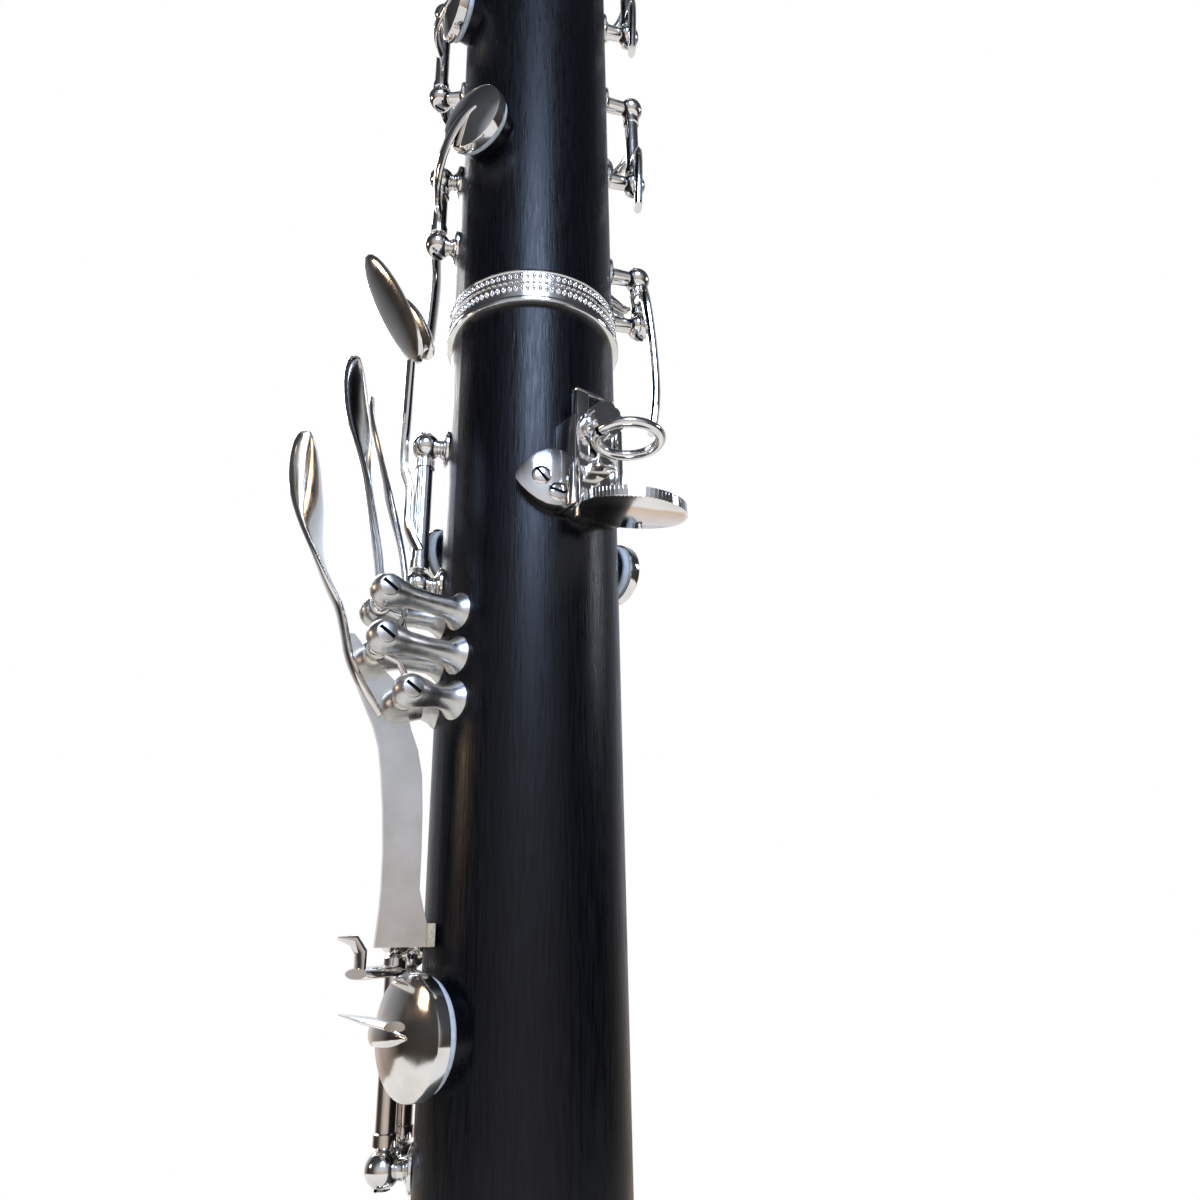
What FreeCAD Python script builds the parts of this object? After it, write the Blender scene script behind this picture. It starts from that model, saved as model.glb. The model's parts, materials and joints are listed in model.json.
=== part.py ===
import FreeCAD, Part
import math
import os

# Bass clarinet, millimetres. +Z runs up the body axis towards the mouthpiece and z = 0 is the
# floor under the peg. +Y is the player's side, -Y faces the audience, +X is the player's left.
# An azimuth is measured in degrees about +Z from +X. Heights ending in _z are measured from the
# open end of the middle ring unless their comment says from the floor.

SIZES = {
    # body
    "ring_z": 740.0,
    "upper_len": 370.0,
    "lower_len": 400.0,
    "body_r": 18.0,
    "bore_r": 11.75,
    "socket_r": 15.0,
    "tenon_r": 14.2,
    "tenon_len": 24.0,
    "cork_len": 17.0,
    "neck_socket_r": 13.5,
    "neck_socket_len": 25.0,
    "ring_len": 9.0,
    "ring_wall": 0.8,
    "ring_lip": 1.5,
    "seat_off": 2.0,
    "chimney_wall": 1.5,
    "play": 0.05,
    # hinges
    "rod_r": 1.1,
    "rod_play": 0.03,
    "tube_r": 2.0,
    "cross_span": 9.0,
    "hinge_off_cross": 6.5,
    "ball_r": 3.0,
    "post_gap": 0.1,
    "post_neck_r": 1.9,
    "post_foot_r": 3.9,
    "post_foot_len": 2.4,
    # cups, pads and arms
    "pad_gap": 0.08,
    "pad_out": 1.5,
    "pad_len": 3.2,
    "cup_wall": 0.7,
    "cup_rim": 2.4,
    "cup_peak": 1.6,
    "arm_w": 4.4,
    "arm_t": 1.7,
    "touch_t": 1.5,
    # thumb rest
    "rest_z": -41.0,
    "rest_base_t": 2.4,
    "rest_lobe_r": 6.0,
    "rest_lobe_x": 9.5,
    "rest_hub_r": 8.0,
    "rest_bar_w": 9.0,
    "rest_bar_t": 2.0,
    "rest_bar_top": -22.0,
    "rest_bar_bottom": -47.0,
    "rest_screw_z": -29.6,
    "rest_slot_len": 14.0,
    "rest_screw_r": 1.4,
    "rest_hook_r": 9.6,
    "rest_hook_reach": 42.8,
    "rest_hook_drop": 8.6,
    "rest_hook_t": 2.0,
    "strap_ring_r": 5.0,
    "strap_ring_wire": 2.0,
    "strap_ring_y": 32.5,
    "strap_ring_z": -38.0,
    # left-hand levers, in the frame turned by lever_az
    "lever_az": -15.0,
    "lever_t": 1.6,
    "lever_head_r": 3.1,
    "lever_rear_y": 14.2,
    "lever_front_y": 2.2,
    "lever_a_x": 25.2,
    "lever_a_z": -82.7,
    "lever_a_shift": 2.6,
    "lever_b_x": 30.6,
    "lever_b_z": -65.8,
    "lever_c_x": 30.6,
    "lever_c_z": -74.3,
    # neck, mouthpiece, bell and peg
    "neck_rise": 40.0,
    "neck_bend_r": 50.0,
    "neck_turn": 105.0,
    "neck_end": 62.0,
    "neck_low_r": 12.9,
    "neck_mid_r": 12.2,
    "neck_high_r": 10.6,
    "neck_wall": 0.9,
    "mouth_len": 92.0,
    "mouth_r": 15.2,
    "mouth_tip_r": 11.8,
    "mouth_bore_r": 12.3,
    "mouth_bore_len": 30.0,
    "table_start": 32.5,
    "table_y": 11.0,
    "reed_w": 15.6,
    "reed_t": 3.2,
    "reed_len": 58.0,
    "lig_low": 36.0,
    "lig_len": 24.0,
    "lig_wall": 1.1,
    "lig_screw_r": 1.3,
    "bell_bend_r": 62.0,
    "bell_turn": 150.0,
    "bell_drop": 54.0,
    "bell_tube_r": 15.4,
    "bell_mid_r": 21.0,
    "bell_throat_r": 28.0,
    "bell_mouth_r": 62.0,
    "bell_flare_len": 72.0,
    "bell_wall": 1.2,
    "peg_r": 5.0,
    "peg_top": 172.0,
    "peg_holder_low": 148.0,
    "peg_holder_r": 8.0,
    "peg_bore_top": 199.0,
    "peg_tip_r": 7.5,
    "peg_tip_len": 16.0,
    "peg_screw_r": 2.0,
    "peg_knob_r": 6.5,
}

# One row for each key on a hinge rod that runs along the body: hinge azimuth, hinge height over
# the body, lower and upper end of the hinge tube, cup azimuth, cup height, pad radius, hole
# radius and the angle the key stands open at rest.
KEYS = {
    "left_index_key": (-125.0, 6.5, 192.0, 218.0, -92.0, 205.0, 7.0, 4.6, 9.0),
    "left_middle_key": (-125.0, 6.5, 137.0, 163.0, -92.0, 150.0, 7.5, 5.2, 9.0),
    "left_ring_key": (-125.0, 6.5, 82.0, 108.0, -92.0, 95.0, 8.0, 5.8, 9.0),
    "thumb_key": (118.0, 6.5, 178.0, 202.0, 90.0, 190.0, 7.0, 4.6, 9.0),
    "throat_a_key": (-58.0, 6.5, 262.0, 300.0, -26.0, 290.0, 5.0, 3.2, 0.0),
    "throat_g_key": (-122.0, 6.5, 240.0, 282.0, -156.0, 272.0, 5.5, 3.6, 0.0),
    "fork_key": (-38.0, 6.5, 82.0, 106.0, -6.0, 94.0, 6.0, 4.0, 0.0),
    "c_sharp_key": (-25.0, 4.4, 30.3, 43.7, 20.0, 50.0, 7.4, 5.0, 0.0),
    "side_low_key": (160.0, 7.8, 16.4, 24.0, 193.0, 34.0, 4.0, 2.6, 0.0),
    "side_mid_key": (160.0, 7.8, 60.2, 79.8, 193.0, 70.0, 5.5, 3.6, 0.0),
    "side_high_key": (160.0, 7.8, 113.2, 132.8, 193.0, 123.0, 5.5, 3.6, 0.0),
    "right_index_key": (-125.0, 6.5, -48.0, -22.0, -95.0, -35.0, 7.8, 5.6, 9.0),
    "right_middle_key": (-125.0, 6.5, -84.0, -58.0, -95.0, -71.0, 7.8, 5.8, 9.0),
    "right_ring_key": (-125.0, 6.5, -120.0, -94.0, -95.0, -107.0, 7.8, 5.8, 9.0),
    "sliver_key": (208.0, 6.5, -60.0, -36.0, 180.0, -48.0, 6.0, 4.0, 0.0),
    "left_d_key": (-25.0, 4.4, -54.0, -29.0, -62.0, -45.0, 5.5, 3.6, 0.0),
    "vent_key": (-36.0, 4.9, -154.8, -125.6, 6.0, -137.0, 8.6, 6.2, 0.0),
    "f_key": (-54.0, 4.4, -154.8, -128.0, -92.0, -140.0, 9.2, 7.0, 8.0),
    "a_flat_key": (-60.0, 6.5, -246.0, -206.0, -97.0, -216.0, 9.0, 6.8, 0.0),
    "low_e_key": (-125.0, 6.5, -284.0, -242.0, -92.0, -264.0, 11.5, 8.8, 7.0),
    "low_e_flat_key": (-36.0, 6.5, -346.0, -172.0, -88.0, -328.0, 12.0, 9.2, 7.0),
}
FIELDS = ("hinge_az", "hinge_off", "tube_low", "tube_top", "cup_az", "cup_z", "pad_r", "hole_r", "open")
UPPER_KEYS = ("left_index_key", "left_middle_key", "left_ring_key", "thumb_key", "throat_a_key",
              "throat_g_key", "fork_key", "c_sharp_key", "side_low_key", "side_mid_key",
              "side_high_key")
LOWER_KEYS = ("right_index_key", "right_middle_key", "right_ring_key", "sliver_key", "left_d_key",
              "vent_key", "f_key", "a_flat_key", "low_e_key", "low_e_flat_key")

doc = FreeCAD.newDocument("BassClarinet")
sheet = doc.addObject("Spreadsheet::Sheet", "Sizes")
Z = FreeCAD.Vector(0, 0, 1)
X = FreeCAD.Vector(1, 0, 0)
Y = FreeCAD.Vector(0, 1, 0)
O = FreeCAD.Vector(0, 0, 0)


def fill_sheet():
    """Write every size to the sheet as text with a word for its alias."""
    row = 1
    rows = dict(SIZES)
    for key, values in KEYS.items():
        for field, value in zip(FIELDS, values):
            rows[key + "_" + field] = value
    for name, value in rows.items():
        sheet.set("A%d" % row, name)
        sheet.set("B%d" % row, str(value))
        sheet.setAlias("B%d" % row, name)
        row += 1
    doc.recompute()


def size(name):
    """Read one size back from the sheet."""
    return float(sheet.get(name))


def bind(obj, **sizes):
    """Bind properties of an object to formulas written with sheet names."""
    for prop, formula in sizes.items():
        obj.setExpression(prop, linked(formula))
    return obj


def linked(formula):
    """Put the sheet's name before each size in a formula."""
    words = []
    word = ""
    for char in formula + " ":
        if char.isalnum() or char in "_.":
            word += char
            continue
        if word and word[0].isalpha():
            word = "Sizes." + word
        words.append(word + char)
        word = ""
    return "".join(words).strip()


def polar(radius, azimuth, height):
    """Give the point at a radius, azimuth and height."""
    angle = math.radians(azimuth)
    return FreeCAD.Vector(radius * math.cos(angle), radius * math.sin(angle), height)


def turn(axis, angle):
    """Give the rotation about an axis."""
    return FreeCAD.Rotation(axis, angle)


def put(obj, base, rotation=None):
    """Set an object's place."""
    obj.Placement = FreeCAD.Placement(base, rotation or FreeCAD.Rotation())
    return obj


def cylinder(name, radius, height, base, rotation=None):
    """Make a cylinder with its sizes bound to the sheet."""
    obj = doc.addObject("Part::Cylinder", name)
    bind(obj, Radius=radius, Height=height)
    return put(obj, base, rotation)


def cone(name, low, high, height, base, rotation=None):
    """Make a cone frustum with its sizes bound to the sheet."""
    obj = doc.addObject("Part::Cone", name)
    bind(obj, Radius1=low, Radius2=high, Height=height)
    return put(obj, base, rotation)


def ball(name, radius, base):
    """Make a ball with its radius bound to the sheet."""
    obj = doc.addObject("Part::Sphere", name)
    bind(obj, Radius=radius)
    return put(obj, base)


def box(name, length, width, height, base, rotation=None):
    """Make a box with its sizes bound to the sheet."""
    obj = doc.addObject("Part::Box", name)
    bind(obj, Length=length, Width=width, Height=height)
    return put(obj, base, rotation)


def bar(name, start, end, width, thick, normal):
    """Make a flat bar between two points, its flat side facing the normal."""
    along = end.sub(start)
    ahead = FreeCAD.Vector(along)
    ahead.normalize()
    side = normal.cross(ahead)
    side.normalize()
    up = ahead.cross(side)
    obj = doc.addObject("Part::Box", name)
    bind(obj, Width=width, Height=thick)
    doc.recompute([obj])
    obj.Length = along.Length
    half_w = obj.Width.Value / 2.0
    half_t = obj.Height.Value / 2.0
    rotation = FreeCAD.Rotation(ahead, side, up, "XZY")
    return put(obj, start.sub(side * half_w).sub(up * half_t), rotation)


def leaf(name, centre, long_axis, normal, half_len, half_w, thick):
    """Make an oval touch plate centred on a point."""
    cross = normal.cross(long_axis)
    face = FreeCAD.Rotation(long_axis, cross, normal, "ZXY")
    oval = doc.addObject("Part::Ellipse", name + "_oval")
    bind(oval, MajorRadius=half_len, MinorRadius=half_w)
    put(oval, centre, face)
    plate = doc.addObject("Part::Extrusion", name)
    plate.Base = oval
    plate.DirMode = "Custom"
    plate.Dir = normal
    plate.Solid = True
    plate.Symmetric = True
    bind(plate, LengthFwd=thick)
    return plate


def fuse(name, parts):
    """Join objects into one."""
    if len(parts) == 1:
        return parts[0]
    obj = doc.addObject("Part::MultiFuse", name)
    obj.Shapes = parts
    obj.Refine = False
    return obj


def cut(name, base, tool):
    """Take one object away from another."""
    obj = doc.addObject("Part::Cut", name)
    obj.Base = base
    obj.Tool = tool
    obj.Refine = False
    return obj


def group(name, parts):
    """Keep separate solids together as one sub-part."""
    obj = doc.addObject("Part::Compound", name)
    obj.Links = parts
    return obj


def plane(body, role):
    """Find one of a body's own origin planes."""
    for feature in body.Origin.OriginFeatures:
        if feature.Role == role:
            return feature
    return None


def sketch_on(body, role, name):
    """Start a sketch on one of a body's own planes."""
    sketch = body.newObject("Sketcher::SketchObject", name)
    sketch.AttachmentSupport = [(plane(body, role), "")]
    sketch.MapMode = "FlatFace"
    return sketch


def outline(sketch, points):
    """Draw a closed outline of straight lines."""
    corners = [FreeCAD.Vector(x, y, 0) for x, y in points]
    for index, corner in enumerate(corners):
        after = corners[(index + 1) % len(corners)]
        sketch.addGeometry(Part.LineSegment(corner, after), False)


def turned(name, points):
    """Turn a profile of (radius, height) points about the body axis."""
    body = doc.addObject("PartDesign::Body", name)
    sketch = sketch_on(body, "XZ_Plane", name + "_profile")
    outline(sketch, points)
    revolve = body.newObject("PartDesign::Revolution", name + "_turned")
    revolve.Profile = sketch
    revolve.ReferenceAxis = (sketch, ["V_Axis"])
    revolve.Angle = 360.0
    body.Tip = revolve
    return body


def hinge_point(key):
    """Give the hinge azimuth and the hinge axis radius of a key."""
    return size(key + "_hinge_az"), size("body_r") + size(key + "_hinge_off")


def key_top(key):
    """Give the radius of the back of a key's cup when the key is shut."""
    return size("body_r") + size("seat_off") + size("pad_gap") + size("pad_out") + size("cup_rim")


def hinge_tube(key, ring):
    """Make the hinge tube of a key and the bore in it."""
    azimuth, radius = hinge_point(key)
    base = polar(radius, azimuth, ring + size(key + "_tube_low"))
    length = key + "_tube_top - " + key + "_tube_low"
    tube = cylinder(key + "_tube", "tube_r", length, base)
    bore = cylinder(key + "_bore", "rod_r + rod_play", length, base)
    return tube, bore


def cup_parts(key, ring, azimuth, height):
    """Make a cup with its pocket and the pad in it, shut on its tone hole."""
    aim = turn(Z, azimuth).multiply(turn(Y, 90))
    seat = size("body_r") + size("seat_off") + size("pad_gap")
    low = seat + size("pad_out")
    pad_r = key + "_pad_r"
    rim = cylinder(key + "_rim", pad_r + " + cup_wall", "cup_rim", polar(low, azimuth, height), aim)
    top = cone(key + "_peak", pad_r + " + cup_wall", "1.2", "cup_peak",
               polar(low + size("cup_rim"), azimuth, height), aim)
    pocket = cylinder(key + "_pocket", pad_r, "pad_len - pad_out", polar(low, azimuth, height), aim)
    pad = cylinder(key + "_pad", pad_r, "pad_len", polar(seat, azimuth, height), aim)
    return [rim, top], pocket, pad


def key_arm(key, azimuth, height, from_height, elbow_height):
    """Make the bent arm that leaves a key's hinge tube and crosses the back of its cup."""
    hinge_az, radius = hinge_point(key)
    spread = math.radians(hinge_az - azimuth)
    hinge_side = radius * math.sin(spread)
    reach = min(size(key + "_pad_r") + size("cup_wall") + 1.2, abs(hinge_side) * 0.85)
    reach = math.copysign(reach, hinge_side)
    back = key_top(key) + 0.4
    turned_by = turn(Z, azimuth)
    hinge = polar(radius, hinge_az, from_height)
    elbow = turned_by.multVec(FreeCAD.Vector(back, reach, elbow_height))
    centre = turned_by.multVec(FreeCAD.Vector(back, 0.0, height))
    outward = polar(1, azimuth, 0)
    middle = polar(1, (hinge_az + azimuth) / 2.0, 0)
    base = elbow.sub(FreeCAD.Vector(0, 0, size("arm_w") / 2.0))
    return [bar(key + "_arm_back", elbow, centre, "arm_w", "arm_t", outward),
            bar(key + "_arm_drop", hinge, elbow, "arm_w", "arm_t", middle),
            cylinder(key + "_arm_elbow", "arm_t / 2 + 0.2", "arm_w - 0.8", base.add(Z * 0.4))]


def finish_key(key, solids, cuts, pads):
    """Join a key, cut its bore and pocket, and stand it at its rest angle."""
    metal = cut(key + "_metal", fuse(key + "_joined", solids), fuse(key + "_tools", cuts))
    node = group(key, [metal] + pads)
    azimuth, radius = hinge_point(key)
    side = -1.0 if size(key + "_cup_az") > size(key + "_hinge_az") else 1.0
    angle = side * size(key + "_open")
    node.Placement = FreeCAD.Placement(O, turn(Z, angle), polar(radius, azimuth, 0))
    node.Label = key
    return node


def basic_key(key, extra=None, from_height=None):
    """Make a key with one hinge tube, one arm, one padded cup and any extra solids."""
    ring = size("ring_z")
    azimuth = size(key + "_cup_az")
    height = ring + size(key + "_cup_z")
    tube, bore = hinge_tube(key, ring)
    cup, pocket, pad = cup_parts(key, ring, azimuth, height)
    low = ring + size(key + "_tube_low") + size("arm_w") / 2.0
    high = ring + size(key + "_tube_top") - size("arm_w") / 2.0
    leave = min(max(height, low), high)
    elbow = height
    if from_height is not None:
        leave = ring + from_height
        elbow = leave
    arm = key_arm(key, azimuth, height, leave, elbow)
    return finish_key(key, [tube] + arm + cup + (extra or []), [bore, pocket], [pad])


def touch_bar(key, name, points, width="arm_w", thick="touch_t"):
    """Make a strip through (radius, azimuth, height) points, rounded at each joint and end."""
    ring = size("ring_z")
    solids = []
    places = [polar(r, az, ring + z) for r, az, z in points]
    for index in range(len(places) - 1):
        azimuth = (points[index][1] + points[index + 1][1]) / 2.0
        facing = polar(1, azimuth, 0)
        ahead = places[index + 1].sub(places[index])
        if facing.cross(ahead).Length < 0.01 * ahead.Length:
            facing = Z
        solids.append(bar("%s_%s_%d" % (key, name, index), places[index], places[index + 1],
                          width, thick, facing))
    for index, place in enumerate(places):
        aim = turn(Z, points[index][1]).multiply(turn(Y, 90))
        base = place.sub(polar(size("touch_t") / 2.0, points[index][1], 0))
        solids.append(cylinder("%s_%s_end_%d" % (key, name, index), "arm_w / 2 + 0.1", thick, base, aim))
    return solids


def touch_leaf(key, radius, azimuth, height, half_len, half_w, lean=0.0):
    """Make an oval touch facing outwards, its long axis along the body."""
    ring = size("ring_z")
    side = polar(1, azimuth + 90.0, 0)
    tilt = turn(side, lean)
    normal = tilt.multVec(polar(1, azimuth, 0))
    along = tilt.multVec(FreeCAD.Vector(Z))
    return leaf(key + "_touch", polar(radius, azimuth, ring + height), along, normal,
                str(half_len), str(half_w), "touch_t")


fill_sheet()
RING = size("ring_z")
BODY = size("body_r")


def chimneys(keys):
    """Make the raised tone-hole seats and the holes under a list of keys."""
    seats = []
    holes = []
    for key in keys:
        azimuth = size(key + "_cup_az")
        aim = turn(Z, azimuth).multiply(turn(Y, 90))
        height = RING + size(key + "_cup_z")
        start = size("bore_r") + 2.0
        seats.append(cylinder(key + "_seat", key + "_hole_r + chimney_wall",
                              "body_r + seat_off - bore_r - 2", polar(start, azimuth, height), aim))
        holes.append(cylinder(key + "_hole", key + "_hole_r", "body_r + 9", polar(0, 0, height), aim))
    return seats, holes


def upper_joint():
    """Upper body joint: turned, with a socket at each end and its tone holes."""
    top = RING + size("upper_len")
    step = RING + size("ring_len")
    wall = BODY - size("ring_wall")
    socket_top = RING + size("tenon_len") + 0.5
    neck_floor = top - size("neck_socket_len")
    body = turned("upper_turning", [
        (size("socket_r"), RING), (wall, RING), (wall, step), (BODY, step),
        (BODY, top - size("ring_len")), (wall, top - size("ring_len")), (wall, top),
        (size("neck_socket_r"), top), (size("neck_socket_r"), neck_floor),
        (size("bore_r"), neck_floor), (size("bore_r"), socket_top), (size("socket_r"), socket_top)])
    seats, holes = chimneys(UPPER_KEYS)
    aim = turn(Z, 90).multiply(turn(Y, 90))
    holes.append(cylinder("register_hole", "2.2", "body_r + 9", polar(0, 0, RING + 322.0), aim))
    node = cut("upper_joint", fuse("upper_blank", [body] + seats), fuse("upper_holes", holes))
    node.Label = "upper_joint"


def lower_joint():
    """Lower body joint: turned, with a tenon at each end and its tone holes."""
    low = RING - size("lower_len")
    neck = size("tenon_r")
    top = RING + size("tenon_len")
    foot = low - size("tenon_len")
    groove = neck - 1.4
    body = turned("lower_turning", [
        (size("bore_r"), foot), (neck, foot), (neck, foot + 3.0), (groove, foot + 3.0),
        (groove, foot + 3.0 + size("cork_len")), (neck, foot + 3.0 + size("cork_len")), (neck, low),
        (BODY, low), (BODY, RING), (neck, RING), (neck, top - 3.0 - size("cork_len")),
        (groove, top - 3.0 - size("cork_len")), (groove, top - 3.0), (neck, top - 3.0), (neck, top),
        (size("bore_r"), top)])
    seats, holes = chimneys(LOWER_KEYS)
    node = cut("lower_joint", fuse("lower_blank", [body] + seats), fuse("lower_holes", holes))
    node.Label = "lower_joint"


def tenon_corks():
    """Cork bands in the grooves of the two tenons."""
    top = RING + size("tenon_len") - 3.0 - size("cork_len")
    low = RING - size("lower_len") - size("tenon_len") + 3.0
    bands = []
    for name, base, radius in (("middle", top, "socket_r"), ("bell", low, "socket_r - play")):
        outer = cylinder(name + "_cork_outer", radius, "cork_len", FreeCAD.Vector(0, 0, base))
        inner = cylinder(name + "_cork_inner", "tenon_r - 1.4", "cork_len", FreeCAD.Vector(0, 0, base))
        bands.append(cut(name + "_cork", outer, inner))
    group("tenon_corks", bands).Label = "tenon_corks"


def beaded_ring(name, low, lip_low):
    """Turned ring with two beads and a lip at one end."""
    wall = BODY - size("ring_wall")
    length = size("ring_len")
    lip = BODY + size("ring_lip")
    face = BODY + 0.9
    profile = [(wall, 0.0), (lip - 0.4, 0.0), (lip, 0.4), (lip, 1.5), (face, 1.9), (face, 2.4),
               (lip - 0.1, 3.2), (lip - 0.1, 4.2), (face, 5.0), (face, 5.5), (lip - 0.3, 6.3),
               (lip - 0.3, 7.4), (face, 8.2), (BODY + 0.3, length), (wall, length)]
    if lip_low:
        points = [(r, low + z) for r, z in profile]
    else:
        points = [(r, low + length - z) for r, z in profile]
    turned(name, points).Label = name


def post_parts(name, azimuth, height, offset):
    """Make a ball post: foot, waist and ball, standing on the body."""
    aim = turn(Z, azimuth).multiply(turn(Y, 90))
    foot = cone(name + "_foot", "post_foot_r", "post_neck_r", "post_foot_len + 1",
                polar(BODY - 1.0, azimuth, height), aim)
    waist = cylinder(name + "_waist", "post_neck_r", offset, polar(BODY, azimuth, height), aim)
    head = ball(name + "_ball", "ball_r", polar(BODY + size_of(offset), azimuth, height))
    return fuse(name, [foot, waist, head])


def size_of(formula):
    """Work out a formula of sheet names joined by plus signs."""
    return sum(size(word.strip()) for word in formula.split("+"))


def key_posts(keys, label):
    """Make the posts and hinge rods of a list of keys as two sub-parts."""
    posts = []
    rods = []
    reach = size("ball_r") + size("post_gap")
    for key in keys:
        azimuth, radius = hinge_point(key)
        low = RING + size(key + "_tube_low") - reach
        high = RING + size(key + "_tube_top") + reach
        for end, height in (("low", low), ("high", high)):
            posts.append(post_parts(key + "_post_" + end, azimuth, height, key + "_hinge_off"))
        length = "%s_tube_top - %s_tube_low + 4 * ball_r + 2 * post_gap" % (key, key)
        rods.append(cylinder(key + "_rod", "rod_r", length,
                             polar(radius, azimuth, low - size("ball_r"))))
    body = cylinder(label + "_body", "body_r", "upper_len + lower_len",
                    FreeCAD.Vector(0, 0, RING - size("lower_len")))
    drilled = cylinder_copies(keys, label)
    all_posts = group(label + "_posts_raw", posts)
    node = cut("posts_" + label, all_posts, fuse(label + "_post_cuts", [body] + drilled))
    node.Label = "posts_" + label
    group("hinge_rods_" + label, rods).Label = "hinge_rods_" + label


def cylinder_copies(keys, label):
    """Make the drills that open the posts for the hinge rods."""
    drills = []
    for key in keys:
        azimuth, radius = hinge_point(key)
        low = RING + size(key + "_tube_low") - 3.0 * size("ball_r")
        length = "%s_tube_top - %s_tube_low + 6 * ball_r" % (key, key)
        drills.append(cylinder(key + "_drill_" + label, "rod_r", length, polar(radius, azimuth, low)))
    return drills


def register_key():
    """Register key: a see-saw on a cross rod, its small pad on the vent at its upper end."""
    low, pivot, vent = RING + 212.0, RING + 262.0, RING + 322.0
    radius = BODY + size("hinge_off_cross")
    aim = turn(Z, 90).multiply(turn(Y, 90))
    tube_end = FreeCAD.Vector(size("cross_span") / 2.0, radius, pivot)
    tube = cylinder("register_tube", "tube_r", "cross_span", tube_end, turn(Y, -90))
    bore = cylinder("register_bore", "rod_r + rod_play", "cross_span",
                    FreeCAD.Vector(size("cross_span") / 2.0, radius, pivot), turn(Y, -90))
    seat = BODY + size("seat_off") + size("pad_gap")
    rim = cylinder("register_rim", "4.4", "3.4", FreeCAD.Vector(0, seat + size("pad_out"), vent), aim)
    pocket = cylinder("register_pocket", "3.7", "1.2", FreeCAD.Vector(0, seat + size("pad_out"), vent), aim)
    pad = cylinder("register_pad", "3.7", "2.7", FreeCAD.Vector(0, seat, vent), aim)
    top_y = seat + size("pad_out") + 2.6
    upper = bar("register_arm_up", FreeCAD.Vector(0, top_y, vent), FreeCAD.Vector(0, radius, pivot),
                "arm_w", "arm_t", Y)
    lower = bar("register_arm_low", FreeCAD.Vector(0, radius, pivot),
                FreeCAD.Vector(0, radius - 0.5, low + 8), "arm_w", "arm_t", Y)
    touch = leaf("register_touch", FreeCAD.Vector(0, radius - 0.4, low + 6.0), Z, Y, "11", "5.5", "touch_t")
    metal = cut("register_metal", fuse("register_joined", [tube, rim, upper, lower, touch]),
                fuse("register_tools", [bore, pocket]))
    node = group("register_key", [metal, pad])
    node.Label = "register_key"
    posts = []
    for side in (-1.0, 1.0):
        x = side * (size("cross_span") / 2.0 + size("ball_r") + size("post_gap"))
        name = "register_post_%s" % ("left" if side > 0 else "right")
        foot = cone(name + "_foot", "post_foot_r", "post_neck_r", "post_foot_len + 6",
                    FreeCAD.Vector(x, BODY - 6.0, pivot), turn(X, -90))
        waist = cylinder(name + "_waist", "post_neck_r", "hinge_off_cross + 3",
                         FreeCAD.Vector(x, BODY - 3.0, pivot), turn(X, -90))
        head = ball(name + "_ball", "ball_r", FreeCAD.Vector(x, radius, pivot))
        posts.append(fuse(name, [foot, waist, head]))
    rod_len = "cross_span + 4 * ball_r + 2 * post_gap"
    start = size("cross_span") / 2.0 + 2.0 * size("ball_r") + size("post_gap")
    rod = cylinder("register_rod", "rod_r", rod_len, FreeCAD.Vector(start, radius, pivot), turn(Y, -90))
    body = cylinder("register_post_body", "body_r", "upper_len", FreeCAD.Vector(0, 0, RING))
    node = cut("register_posts", group("register_posts_raw", posts),
               fuse("register_post_cuts", [body, rod]))
    seat_post = cylinder("register_vent_seat", "3", "seat_off + 3", FreeCAD.Vector(0, BODY - 3.0, vent),
                         turn(X, -90))
    seat_hole = cylinder("register_vent_bore", "1.4", "seat_off + 3", FreeCAD.Vector(0, BODY - 3.0, vent),
                         turn(X, -90))
    vent_tube = cut("register_vent", cut("register_vent_blank", seat_post, seat_hole), body)
    whole = group("register_mount", [node, rod, vent_tube])
    whole.Label = "register_mount"


def ribbon(name, points, thick, half_w, shift):
    """Pad the side view of a bent strip: points are (out, height) along its middle."""
    left = []
    right = []
    for index, (x, z) in enumerate(points):
        before = points[max(index - 1, 0)]
        after = points[min(index + 1, len(points) - 1)]
        run = math.hypot(after[0] - before[0], after[1] - before[1])
        nx = (after[1] - before[1]) / run
        nz = -(after[0] - before[0]) / run
        left.append((x + nx * thick / 2.0, z + nz * thick / 2.0))
        right.append((x - nx * thick / 2.0, z - nz * thick / 2.0))
    body = doc.addObject("PartDesign::Body", name)
    sketch = sketch_on(body, "XZ_Plane", name + "_side")
    outline(sketch, left + right[::-1])
    pad = body.newObject("PartDesign::Pad", name + "_pad")
    pad.Profile = sketch
    pad.Midplane = True
    pad.Length = 2.0 * half_w
    body.Tip = pad
    return put(body, FreeCAD.Vector(0, shift, 0))


def face_outline(name, points, reach):
    """Pad the face view of a lever outwards: points are (sideways, height)."""
    body = doc.addObject("PartDesign::Body", name)
    sketch = sketch_on(body, "YZ_Plane", name + "_face")
    outline(sketch, points)
    pad = body.newObject("PartDesign::Pad", name + "_pad")
    pad.Profile = sketch
    pad.Length = reach
    body.Tip = pad
    return body


def leaf_points(centre, tip, widest, low, wide, narrow):
    """Give the outline of a long leaf from its tip down to its stem."""
    right = []
    steps = 7
    for index in range(steps + 1):
        share = index / float(steps)
        height = tip + (widest - tip) * share
        right.append((wide * math.sin(math.pi / 2.0 * share) + 0.4 * (1.0 - share), height))
    for index in range(1, steps + 1):
        share = index / float(steps)
        height = widest + (low - widest) * share
        spread = narrow + (wide - narrow) * (0.5 + 0.5 * math.cos(math.pi * min(share * 1.6, 1.0)))
        right.append((spread, height))
    left = [(-y, z) for y, z in right[::-1]]
    return [(centre + y, z) for y, z in right + left]


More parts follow.
